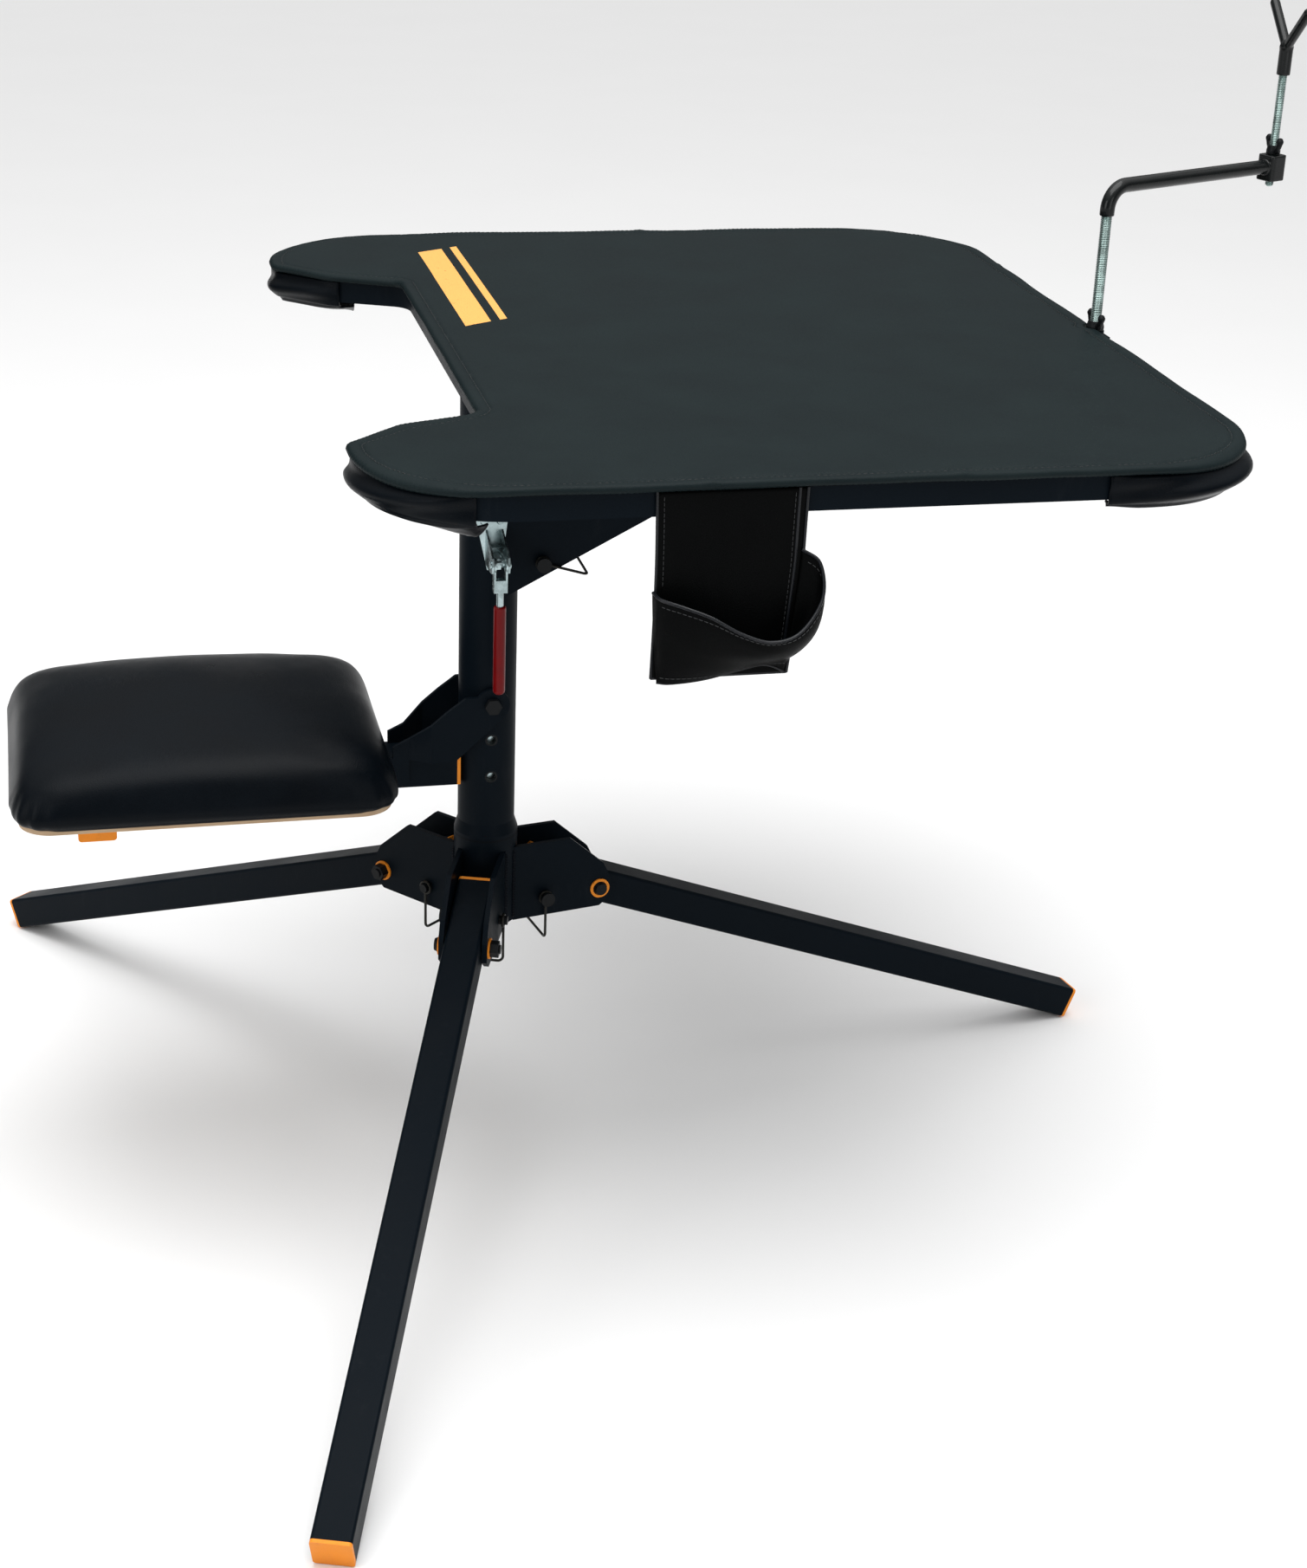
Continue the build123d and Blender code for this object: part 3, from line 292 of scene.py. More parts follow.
STEEL = powder_coat("black_powder_coat", (0.0026, 0.0050, 0.0078))
BEAD = powder_coat("powder_coated_weld", (0.0034, 0.0046, 0.0070))
OXIDE = speckled("black_oxide", (0.012, 0.012, 0.013), 0.38, (160, 5, 0.6),
                 ((0.0025, 0.0032, 0.0038), (0.0095, 0.0105, 0.0115)), (0.30, 0.48),
                 (0.12, 0.0002), Specular_IOR_Level=0.10)
WIRE = speckled("dark_spring_wire", (0.010, 0.010, 0.009), 0.40, (900, 3, 0.5),
                ((0.009, 0.009, 0.009), (0.026, 0.025, 0.020)), (0.32, 0.50),
                (0.10, 0.0001), Metallic=0.5, Specular_IOR_Level=0.2)
ROD_ZINC = zinc("zinc_rod", (0.38, 0.48, 0.46))
BLACK_NYLON = moulded("black_nylon", (0.0030, 0.0046, 0.0064), 0.55, 0.15,
                      Specular_IOR_Level=0.04)
SEAT_SKIN = leatherette("seat_leatherette", (0.0010, 0.0020, 0.0034), (0.0022, 0.0040, 0.0062),
                        0.32, 1300, 0.06).mat
POUCH_SKIN = leatherette("pouch_leatherette", (0.0010, 0.0012, 0.0013),
                         (0.0020, 0.0023, 0.0024), 0.38, 1500, 0.03).mat
# The trim is lighter and bluer than the pouch's cloth: painted highlight along the hems. Its higher
# specular is the trim's own gloss.
TRIM_WITH_PAINTED_HIGHLIGHT = leatherette("pouch_trim_painted_highlight", (0.0040, 0.0048, 0.0065), (0.0080, 0.0095, 0.0125), 0.30,
                   1500, 0.25).mat
THREAD = speckled("sewing_thread", (0.006, 0.007, 0.008), 0.62, (2600, 2, 0.5),
                  ((0.004, 0.005, 0.006), (0.011, 0.013, 0.014)), None, (0.4, 0.0002))
BLACK_DIP = dipped("black_dip", (0.0034, 0.0044, 0.0046), 0.26, 0.30)
RUBBER = speckled("black_rubber", (0.012, 0.012, 0.012), 0.72, (240, 5, 0.7),
                  ((0.011, 0.011, 0.011), (0.045, 0.043, 0.040)), (0.62, 0.82),
                  (0.2, 0.0003), (0.5, 0.75))

FINISH = {
    "black_steel": STEEL, "black_hardware": OXIDE, "spring_wire": WIRE,
    "zinc_steel": zinc("zinc_plate", (0.34, 0.42, 0.43)),
    "seat_vinyl": SEAT_SKIN, "pouch_vinyl": POUCH_SKIN, "black_dip": BLACK_DIP,
    "rubber": RUBBER, "seat_wood": plywood(),
    "panel_sheet": powder_coat("coated_sheet", (0.0040, 0.0044, 0.0052)),
    "nylon": moulded("natural_nylon", (0.72, 0.70, 0.62), 0.45, 0.15),
    "orange_plastic": moulded("orange_plastic", (0.78, 0.25, 0.020), 0.42, 0.25,
                              Specular_IOR_Level=0.15),
    "red_grip": dipped("red_vinyl_grip", (0.130, 0.0007, 0.0014), 0.34, 0.06),
}


def smooth(obj, angle):
    """Shades an object smooth but for edges sharper than the angle."""
    mesh = obj.data
    bm = bmesh.new()
    bm.from_mesh(mesh)
    for face in bm.faces:
        face.smooth = True
    for edge in bm.edges:
        if len(edge.link_faces) == 2:
            edge.smooth = edge.calc_face_angle(0) < radians(angle)
    bm.to_mesh(mesh)
    bm.free()


def paint(obj, material):
    obj.data.materials.clear()
    obj.data.materials.append(material)


for entry in frame["record"]["subparts"]:
    if entry["material_slot"] in FINISH:
        paint(nodes[entry["node"]], FINISH[entry["material_slot"]])
paint(nodes["thrust_washer"], BLACK_NYLON)
# The seat inserts take the dark oxide so that their holes read dark: painted shade inside the
# seat-height holes.
paint(nodes["seat_inserts"], OXIDE)


# ---- mesh helpers
def piece(name, mesh_or_bm, body, material, angle=40.0):
    """A new visible piece, shaded smooth and painted with the given material, that rides on a body.
    """
    if isinstance(mesh_or_bm, bmesh.types.BMesh):
        mesh_or_bm = as_mesh(name, mesh_or_bm)
    mesh_or_bm.name = name
    obj = place(name, mesh_or_bm)
    paint(obj, material)
    smooth(obj, angle)
    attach(obj, body)
    return obj


def circle(centre, radius, sides, z):
    """Points of a level circle, anticlockwise from +X."""
    return [Vector((centre.x + radius * cos(2 * pi * k / sides),
                    centre.y + radius * sin(2 * pi * k / sides), z)) for k in range(sides)]


def skin(bm, rings, cyclic=False):
    """Quads between rings of vertices, and a face over each end of an open run."""
    for a, b in zip(rings, rings[1:] + rings[:1] if cyclic else rings[1:]):
        for k in range(len(a)):
            m = (k + 1) % len(a)
            bm.faces.new((a[k], a[m], b[m], b[k]))
    if not cyclic:
        bm.faces.new(list(reversed(rings[0])))
        bm.faces.new(rings[-1])


def add_grid(bm, spots):
    """Quads over a grid of points."""
    grid = [[bm.verts.new(spot) for spot in line] for line in spots]
    for a, b in zip(grid, grid[1:]):
        for j in range(len(a) - 1):
            bm.faces.new((a[j], b[j], b[j + 1], a[j + 1]))


def soften(bm):
    """Moves every vertex halfway to its neighbours' average."""
    bmesh.ops.smooth_vert(bm, verts=bm.verts, factor=0.5, use_axis_x=True, use_axis_y=True,
                          use_axis_z=True)


def thicken(obj):
    """Gives a sheet its thickness, evenly on both sides."""
    shell = obj.modifiers.new("cloth", "SOLIDIFY")
    shell.thickness = CLOTH
    shell.offset = 0


def frames_along(points, cyclic):
    """(point, side, up) along a path, turning as little as it can."""
    count = len(points)
    tangents = []
    for i in range(count):
        before = points[i - 1] if cyclic or i else points[i]
        after = points[(i + 1) % count] if cyclic or i + 1 < count else points[i]
        tangents.append((after - before).normalized())
    side = tangents[0].orthogonal().normalized()
    if abs(tangents[0].dot(UP)) < 0.9:
        side = tangents[0].cross(UP).normalized()
    made = []
    for point, tangent in zip(points, tangents):
        side = (side - tangent * side.dot(tangent)).normalized()
        made.append((point, side, side.cross(tangent)))
    return made


def add_tube(bm, points, radius, sides=8, cyclic=False):
    """A round tube along points; radius is a number or a function of the point's index."""
    rings = []
    for i, (point, side, up) in enumerate(frames_along(points, cyclic)):
        r = radius(i) if callable(radius) else radius
        rings.append([bm.verts.new(point + (side * cos(2 * pi * k / sides)
                                            + up * sin(2 * pi * k / sides)) * r)
                      for k in range(sides)])
    skin(bm, rings, cyclic)


def spaced(points, step, cyclic=False):
    """Points a fixed step apart along a polyline."""
    ring = points + points[:1] if cyclic else points
    lengths = [(b - a).length for a, b in zip(ring, ring[1:])]
    total = sum(lengths)
    count = max(2, round(total / step))
    made, walked, k = [], 0.0, 0
    for i in range(count if cyclic else count + 1):
        goal = total * i / count
        while k < len(lengths) - 1 and walked + lengths[k] < goal:
            walked += lengths[k]
            k += 1
        t = (goal - walked) / max(lengths[k], 1e-9)
        made.append(ring[k].lerp(ring[k + 1], min(t, 1.0)))
    return made


def add_stitches(bm, points, pitch, radius=0.35 * MM, sink=0.2, cyclic=False, away=UP):
    """Lock stitches lying along a line, each a short rounded rod humped away from the cloth."""
    marks = spaced(points, pitch, cyclic)
    pairs = zip(marks, marks[1:] + marks[:1]) if cyclic else zip(marks, marks[1:])
    for a, b in pairs:
        run = [a.lerp(b, t) for t in (0.12, 0.25, 0.5, 0.75, 0.88)]
        hump = (-sink, 0.5, 0.8, 0.5, -sink)
        lifted = [p + away * (radius * h) for p, h in zip(run, hump)]
        add_tube(bm, lifted, lambda i: radius * (0.6, 0.95, 1.0, 0.95, 0.6)[i], 6)


def add_weld(bm, start, end, radius=2.0 * MM, pitch=2.6 * MM, seed=0):
    """A ripple weld bead from start to end, as overlapping scales."""
    start, end = Vector(start), Vector(end)
    count = max(3, round((end - start).length / pitch) * 3)
    points = [start.lerp(end, i / count) for i in range(count + 1)]
    wobble = [noise.noise(p * 260 + Vector((seed, 0, 0))) for p in points]

    def swell(i):
        edge = min(1.0, 0.45 + 0.3 * min(i, count - i))
        return radius * edge * (0.86 + 0.16 * cos(2 * pi * i / 3) + 0.12 * wobble[i])

    add_tube(bm, points, swell, 10)


def smoothstep(a, b, x):
    t = min(1.0, max(0.0, (x - a) / (b - a)))
    return t * t * (3 - 2 * t)


# ---- table outline
PAD_LOW, PAD_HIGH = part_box("table_pad")
TABLE_YC = (PAD_LOW.y + PAD_HIGH.y) / 2
TABLE_HALF = (PAD_HIGH.y - PAD_LOW.y) / 2
CORNER_R = 0.115         # outer corners
TIP_R = 0.014            # ear tips and the notch's inner corners
FLARE_R = 0.040
NOTCH_BACK = -0.034      # x of the notch's straight edge
NOTCH_HALF = 0.220       # its half width there, where it flares and at its mouth
NOTCH_FLARE = 0.248
NOTCH_MOUTH = 0.292
FLARE_X = -0.100
OUTLINE_STEP = 2 * MM
PAD_MID = (PAD_LOW.z + PAD_HIGH.z) / 2
PAD_HALF = (PAD_HIGH.z - PAD_LOW.z) / 2


def rounded_polygon(corners, step):
    """Closed outline through corners given as (x, y, radius), as points a step apart."""
    made = []
    count = len(corners)
    for i in range(count):
        before = Vector(corners[i - 1][:2])
        here = Vector(corners[i][:2])
        after = Vector(corners[(i + 1) % count][:2])
        radius = corners[i][2]
        a, b = (before - here).normalized(), (after - here).normalized()
        half = a.angle(b) / 2
        reach = radius / tan(half)
        centre = here + (a + b).normalized() * (radius / sin(half))
        first, last = here + a * reach - centre, here + b * reach - centre
        turn = atan2(first.cross(last), first.dot(last))
        arcs = max(2, int(abs(turn) * radius / OUTLINE_STEP))
        for k in range(arcs + 1):
            spin = turn * k / arcs
            made.append(centre + Vector((first.x * cos(spin) - first.y * sin(spin),
                                         first.x * sin(spin) + first.y * cos(spin))))
    return [p.to_2d() for p in spaced([p.to_3d() for p in made], step, True)]


HALF_OUTLINE = [(PAD_HIGH.x, TABLE_HALF, CORNER_R), (PAD_LOW.x, TABLE_HALF, CORNER_R),
                (PAD_LOW.x, NOTCH_MOUTH, TIP_R), (FLARE_X, NOTCH_FLARE, FLARE_R),
                (NOTCH_BACK, NOTCH_HALF, TIP_R)]
WHOLE_OUTLINE = HALF_OUTLINE + [(x, -y, r) for x, y, r in reversed(HALF_OUTLINE)]
OUTLINE = rounded_polygon([(x, TABLE_YC + y, r) for x, y, r in WHOLE_OUTLINE], OUTLINE_STEP)


def inset_outline(distance, step):
    """The table outline moved in by a distance, as points a step apart."""
    count = len(OUTLINE)
    made = []
    for i in range(count):
        ahead, behind = OUTLINE[(i + 2) % count], OUTLINE[i - 2]
        along = (ahead - behind).normalized()
        inward = Vector((-along.y, along.x)) * WINDING
        made.append((OUTLINE[i] + inward * distance).to_3d())
    return [p.to_2d() for p in spaced(made, step, True)]


def winding(points):
    """1 for an anticlockwise outline, -1 for a clockwise one."""
    area = sum(a.cross(b) for a, b in zip(points, points[1:] + points[:1]))
    return 1 if area > 0 else -1


WINDING = winding(OUTLINE)
edge_tree = kdtree.KDTree(len(OUTLINE))
for index, spot in enumerate(OUTLINE):
    edge_tree.insert(spot.to_3d(), index)
edge_tree.balance()


def edge_distance(p):
    """How far a point is from the table's outline."""
    here = Vector((p[0], p[1]))
    nearest = edge_tree.find(here.to_3d())[1]
    best = 9.0
    for k in (nearest - 1, nearest):
        a, b = OUTLINE[k], OUTLINE[(k + 1) % len(OUTLINE)]
        span = b - a
        t = max(0.0, min(1.0, (here - a).dot(span) / span.length_squared))
        best = min(best, (a + span * t - here).length)
    return best


def inside_outline(p):
    """True for a point inside the table's outline."""
    hit = False
    for a, b in zip(OUTLINE, OUTLINE[1:] + OUTLINE[:1]):
        if (a.y > p[1]) != (b.y > p[1]):
            crossing = a.x + (p[1] - a.y) * (b.x - a.x) / (b.y - a.y)
            hit = hit != (p[0] < crossing)
    return hit


# ---- table pad
SEAM_IN = 12 * MM        # pad's edge to the sewn seam of its binding
PAD_LOOPS = (0, 1, 2.2, 4, 7, 9.5, 11, 12, 13, 14.5, 17, 22, 30)    # mm in from the edge
PAD_PITCH = 11 * MM      # of the grid inside them
ROW_PITCH = PAD_PITCH * 0.866
RIM = 0.2 * MM           # nearer to the outline than this is on it
REST_LOW, REST_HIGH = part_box("rest_rod")
REST_AXIS = (REST_LOW + REST_HIGH) / 2
BITE_R = 9.8 * MM        # round the rest socket's collar
JOIN_DEPTH = 16 * MM     # how far in the binding's laps reach
BINDING_JOINS = ((0.106, -0.338), (0.300, -0.338), (-0.034, 0.305), (-0.034, -0.135),
                 (0.570, 0.330), (0.240, 0.508))


def bite(p, d):
    """How far the pad's front edge is pushed back round the socket's collar."""
    across = p[1] - REST_AXIS.y
    if p[0] < 0.5 or abs(across) >= BITE_R:
        return 0.0
    depth = PAD_HIGH.x - (REST_AXIS.x - sqrt(BITE_R ** 2 - across ** 2))
    return max(0.0, depth) * max(0.0, 1 - d / 0.035)


def cornerness(p):
    """1 at the table's four outer corners, falling to 0 where they straighten out."""
    along = min(abs(p[0] - PAD_HIGH.x), abs(p[0] - PAD_LOW.x))
    across = TABLE_HALF - abs(p[1] - TABLE_YC)
    return (1 - smoothstep(0.03, 0.12, along)) * (1 - smoothstep(0.03, 0.12, across))


def pad_droop(p, d):
    """The pad's free rim sags past the rails at the corners and waves along its sides."""
    wave = noise.noise(Vector((p[0] * 13, p[1] * 13, 6)))
    free = 1 - smoothstep(0, 11 * MM, d)
    return (4.0 * MM * cornerness(p) + 1.5 * MM * wave) * free


def pad_roll(d):
    """Half thickness of the pad near its rounded edge."""
    return PAD_HALF * sqrt(max(0.0, 1 - (1 - min(d, PAD_HALF) / PAD_HALF) ** 2))


def join_ridge(p, d):
    """Small ridges where the binding's ends overlap."""
    if d > JOIN_DEPTH:
        return 0.0
    nearest = min(hypot(p[0] - x, p[1] - y) for x, y in BINDING_JOINS)
    return 0.7 * MM * exp(-(max(0.0, nearest - d) / (3.5 * MM)) ** 2)


def pad_top(p, d):
    """Height of the pad's upper skin."""
    here = Vector((p[0], p[1], 0))
    seam = exp(-((d - SEAM_IN) / (1.5 * MM)) ** 2)
    pucker = noise.noise(here * 95) * exp(-abs(d - SEAM_IN) / (9 * MM))
    swell = noise.noise(here * 8 + Vector((3, 1, 0)))
    foam = 0.9 * MM * smoothstep(12 * MM, 40 * MM, d) + 0.8 * MM * swell * smoothstep(
        15 * MM, 70 * MM, d)
    z = PAD_MID + pad_roll(d) - 1.7 * MM * seam + 0.7 * MM * pucker * min(1, d / (4 * MM)) + foam
    return z + join_ridge(p, d) - pad_droop(p, d)


def pad_base(p, d):
    """Height of the pad's lower skin."""
    return PAD_MID - pad_roll(d) - pad_droop(p, d)


def make_table_pad():
    """Padded leatherette cover with a bound and sewn edge."""
    flat = []
    for inset in PAD_LOOPS:
        step = 4.5 * MM if inset < 15 else 7 * MM
        for p in inset_outline(inset * MM, step):
            if inset == 0 or (edge_distance(p) > (inset - 0.6) * MM and inside_outline(p)):
                flat.append(p)
    rows = int((PAD_HIGH.y - PAD_LOW.y) / ROW_PITCH)
    columns = int((PAD_HIGH.x - PAD_LOW.x) / PAD_PITCH)
    for j in range(rows + 1):
        for i in range(columns + 1):
            p = Vector((PAD_LOW.x + (i + 0.5 * (j % 2)) * PAD_PITCH,
                        PAD_LOW.y + j * ROW_PITCH))
            if edge_distance(p) > 37 * MM and inside_outline(p):
                flat.append(p)
    spots, _, faces, *_ = delaunay_2d_cdt(flat, [], [], 0, 1e-7)
    bm = bmesh.new()
    depths = [edge_distance(p) for p in spots]
    on_rim = [d < RIM for d in depths]
    top, base = [], []
    for p, d, rimmed in zip(spots, depths, on_rim):
        d = 0.0 if rimmed else d
        x = p.x - bite(p, d)
        top.append(bm.verts.new((x, p.y, pad_top(p, d))))
        base.append(top[-1] if rimmed else bm.verts.new((x, p.y, pad_base(p, d))))
    for face in faces:
        middle = sum((spots[i] for i in face), Vector((0, 0))) / 3
        if all(on_rim[i] for i in face) or not inside_outline(middle):
            continue
        for ring in ([top[i] for i in face], [base[i] for i in reversed(face)]):
            if len(set(ring)) == 3 and not bm.faces.get(ring):
                bm.faces.new(ring)
    bmesh.ops.recalc_face_normals(bm, faces=bm.faces)
    pad = piece("table_pad_cover", bm, "column", TABLE_SKIN, 60)
    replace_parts(pad, "table_pad")
    stitches = bmesh.new()
    seam = []
    for p in inset_outline(SEAM_IN, 2 * MM):
        if edge_distance(p) > SEAM_IN - 0.8 * MM:
            seam.append(Vector((p.x - bite(p, SEAM_IN), p.y, pad_top(p, SEAM_IN) + 0.25 * MM)))
    add_stitches(stitches, seam, 5.2 * MM, cyclic=True)
    piece("table_pad_stitches", stitches, "column", THREAD)


PRINT_AT = (0.020, 0.285)    # middle of the printed accent on the pad
PRINT_LONG = 0.290
PRINT_SLANT = 0.55
ACCENT = (0.72, 0.36, 0.10)


def table_leather():
    """Slate leatherette with a plain printed accent: two bars with rubbed ink."""
    p = leatherette("table_leatherette", (0.0068, 0.0118, 0.0132), (0.0102, 0.0166, 0.0178),
                    0.42, 1400, 0.05)
    split = p.node("ShaderNodeSeparateXYZ")
    p.link(p.coord, split.inputs["Vector"])
    x, y, z = (split.outputs[k] for k in "XYZ")

    def band(value, middle, half):
        away = p.maths("ABSOLUTE", p.maths("SUBTRACT", value, middle), 0)
        return p.maths("LESS_THAN", away, half)

    slant = p.maths("SUBTRACT", y, p.maths("MULTIPLY", x, PRINT_SLANT))
    within = band(slant, PRINT_AT[1] - PRINT_SLANT * PRINT_AT[0], PRINT_LONG / 2)
    bars = p.maths("MAXIMUM", band(x, PRINT_AT[0] - 0.008, 0.0125),
                   band(x, PRINT_AT[0] + 0.017, 0.0035))
    upper = p.maths("GREATER_THAN", z, PAD_MID + 0.001)
    rubbed = p.maths("LESS_THAN", p.noise(150, 8, 0.8), 0.64)
    mask = p.maths("MULTIPLY", p.maths("MULTIPLY", within, bars),
                   p.maths("MULTIPLY", upper, rubbed))
    under = p.bsdf.inputs["Base Color"].links[0].from_socket
    p.colour(p.blend(mask, under, ACCENT))
    return p.mat


TABLE_SKIN = table_leather()
make_table_pad()

# ---- corner pockets
RAIL_LOW, RAIL_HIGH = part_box("side_rails")
RAIL_FACE = 9 * MM       # pad's edge to the rails' outer faces


def corner_runs():
    """Stretches of outline that the four pockets cover: (name, points in order)."""
    ring = inset_outline(0, 3 * MM)
    tests = {
        "right_front": lambda p: p.x > 0.420 and p.y < -0.209,
        "left_front": lambda p: p.x > 0.420 and p.y > 0.379,
        "right_ear": lambda p: p.x < -0.065 and p.y < TABLE_YC and not (
            p.x > -0.088 and p.y > -0.250),
        "left_ear": lambda p: p.x < -0.065 and p.y > TABLE_YC and not (
            p.x > -0.088 and p.y < 0.420),
    }
    runs = []
    for name, test in tests.items():
        start = next(i for i, p in enumerate(ring) if test(p) and not test(ring[i - 1]))
        runs.append((name, list(takewhile(test, ring[start:] + ring[:start]))))
    return runs


WALL_END = 0.5           # share of a pocket's rows that make its wall
TURN_END = 0.62          # and its wall and the turn under the rail
POCKET_ROWS = 34


def pocket_section(v, u, seed, puff):
    """(inset, height) of a pocket's cloth at v down its wall and turn, u along it."""
    ends = smoothstep(0, 0.14, u) * smoothstep(0, 0.14, 1 - u)
    reach = sin(pi * u) ** 1.5
    fold = sin(2 * pi * (2.1 * v + 0.35 * sin(3.1 * u + seed)) + 4.0 * u + seed)
    if v < WALL_END:
        t = v / WALL_END
        wall = sin(pi * t) ** 0.8
        loose = (1.0 + 1.9 * ends) * MM * wall * fold
        inset = RAIL_FACE - 2.6 * MM - (3.5 * MM * ends + puff * reach) * wall - loose
        inset -= 0.45 * puff * reach * t
        height = RAIL_HIGH.z + 1.0 * MM - (RAIL_HIGH.z - RAIL_LOW.z + 3.5 * MM) * t
        return inset, height
    spin = pi / 2 * (v - WALL_END) / 0.12
    return (RAIL_FACE - 2.6 * MM - 0.45 * puff * reach + 5 * MM * sin(spin),
            RAIL_LOW.z - 2.5 * MM - (3 + 2 * ends) * MM * (1 - cos(spin)))


def make_corner_pocket(name, run, seed, puff, sag):
    """One fitted corner of the cover: a wall round the rail and a slack flap under it."""
    run = spaced([p.to_3d() for p in run], 3.2 * MM)
    count = len(run)
    grid = []
    chord_a, chord_b = run[0], run[-1]
    crown = run[count // 2]
    inward_mean = (chord_a.lerp(chord_b, 0.5) - crown).normalized()
    for i, p in enumerate(run):
        u = i / (count - 1)
        along = (run[min(i + 1, count - 1)] - run[max(i - 1, 0)]).normalized()
        inward = Vector((-along.y, along.x, 0)) * WINDING
        line = []
        for j in range(POCKET_ROWS + 1):
            v = j / POCKET_ROWS
            if v < TURN_END:
                inset, height = pocket_section(v, u, seed, puff)
                spot = p + inward * inset
                spot.z = height
            else:
                t = (v - TURN_END) / 0.38
                edge_inset, edge_z = pocket_section(0.6199, u, seed, puff)
                outer = p + inward * edge_inset
                inner = chord_a.lerp(chord_b, 0.10 + 0.80 * u) + inward_mean * 14 * MM
                spot = outer.lerp(inner, t)
                middle = sin(pi * u) ** 0.8
                ruck = noise.noise(Vector((u * 7 + seed, t * 1.8, 0)))
                spot.z = edge_z - (sag * t * middle + 3.5 * MM * ruck * sin(pi * t / 2) * middle)
            line.append(spot)
        grid.append(line)
    bm = bmesh.new()
    add_grid(bm, grid)
    bmesh.ops.recalc_face_normals(bm, faces=bm.faces)
    soften(bm)
    pocket = piece("pocket_" + name, bm, "column", SEAT_SKIN, 60)
    thicken(pocket)
    hem = bmesh.new()
    rim = [pocket.data.vertices[(i + 1) * (POCKET_ROWS + 1) - 1].co.copy() for i in range(count)]
    add_tube(hem, rim, 1.2 * MM, 8)
    piece("pocket_hem_" + name, hem, "column", SEAT_SKIN)
    return pocket


POCKET_SHAPE = {"right_front": (7 * MM, 12 * MM), "left_front": (6 * MM, 12 * MM),
                "right_ear": (3 * MM, 24 * MM), "left_ear": (3 * MM, 14 * MM)}
pockets = [make_corner_pocket(name, run, k * 1.7, *POCKET_SHAPE[name])
           for k, (name, run) in enumerate(corner_runs())]
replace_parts(pockets[0], "corner_pockets")

# ---- pouch
STRAP_LOW, STRAP_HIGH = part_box("pouch_strap")
STRAP_Y = -0.3312        # middle of the strap's cloth
STRAP_BASE = 0.5765
STRAP_TOP = 0.7233


def through(points, t):
    """Point at t (0..1) on a smooth curve through evenly counted points."""
    k = min(int(t * (len(points) - 1)), len(points) - 2)
    f = t * (len(points) - 1) - k
    p1, p2 = points[k], points[k + 1]
    p0 = points[k - 1] if k else p1 * 2 - p2
    p3 = points[k + 2] if k + 2 < len(points) else p2 * 2 - p1
    return 0.5 * (2 * p1 + (p2 - p0) * f + (2 * p0 - 5 * p1 + 4 * p2 - p3) * f ** 2
                  + (3 * p1 - p0 - 3 * p2 + p3) * f ** 3)


def pouch_cloth(name, spots):
    """A sheet of the pouch's leatherette over a grid of points, given its thickness."""
    bm = bmesh.new()
    add_grid(bm, spots)
    made = piece(name, bm, "column", POUCH_SKIN, 60)
    thicken(made)
    return made


def strap_point(s, t):
    """A point of the pouch's back strap: s from left to right, t from bottom to top."""
    x = STRAP_LOW.x + (STRAP_HIGH.x - STRAP_LOW.x) * s
    z = STRAP_BASE + (STRAP_TOP - STRAP_BASE) * t
    flute = (0.9 * sin(2 * pi * s * 2.3 + 0.7) + 0.6 * sin(2 * pi * s * 4.1 + 2.0 * t)) * MM
    free = sin(pi * min(1.0, (1 - t) * 1.6 + 0.02)) * (0.35 + 0.65 * (1 - t))
    side = 1.2 * MM * sin(pi * t) * (1 if s > 0.5 else -1) * abs(2 * s - 1)
    side += 9 * MM * s ** 3 * max(0.0, 1 - t / 0.62) ** 1.3
    return Vector((x - side, STRAP_Y - abs(flute) * free, z))


# the slack front of the pouch, in mm, from its left seam to its right: base, belly and mouth
BAG_BASE = ((71, -333.6, 574), (80, -334.5, 573), (96, -335, 574), (111, -335, 576),
            (126, -335, 579.5), (141, -335, 583), (152, -335, 585), (160, -334.6, 583.5),
            (167, -333.9, 580), (170, -333.4, 578))
BAG_BELLY = ((68, -333.6, 610), (72, -343, 609), (90, -350, 606), (110, -354, 603),
             (130, -357, 601), (150, -358, 600), (171, -355, 602), (186, -347, 609),
             (186, -338, 620), (176, -333.2, 627))
BAG_MOUTH = ((66, -333.6, 646), (70, -345, 644), (84, -354, 641), (105, -361, 634),
             (127, -365, 622), (150, -367, 615), (173, -363, 620), (192, -352, 642),
             (192, -341, 666), (179.5, -333.2, 675))


def bag_point(s, t):
    """A point of the pouch's slack front: s from left to right, t from the base to the mouth."""
    base, belly, mouth = (through([Vector(p) * MM for p in row], s)
                          for row in (BAG_BASE, BAG_BELLY, BAG_MOUTH))
    spot = base * (2 * t * t - 3 * t + 1) + belly * (4 * t - 4 * t * t) + mouth * (2 * t * t - t)
    slack = sin(pi * s) * sin(pi * min(1, t * 1.02)) ** 0.7
    fold = (1.1 * noise.noise(Vector((s * 6.5, t * 3.0 + s * 2.0, 2)))
            + 0.9 * sin(9 * s + 4.5 * t) * exp(-((t - 0.35) / 0.3) ** 2))
    return spot + FRONT * (1.5 * MM * fold * slack)


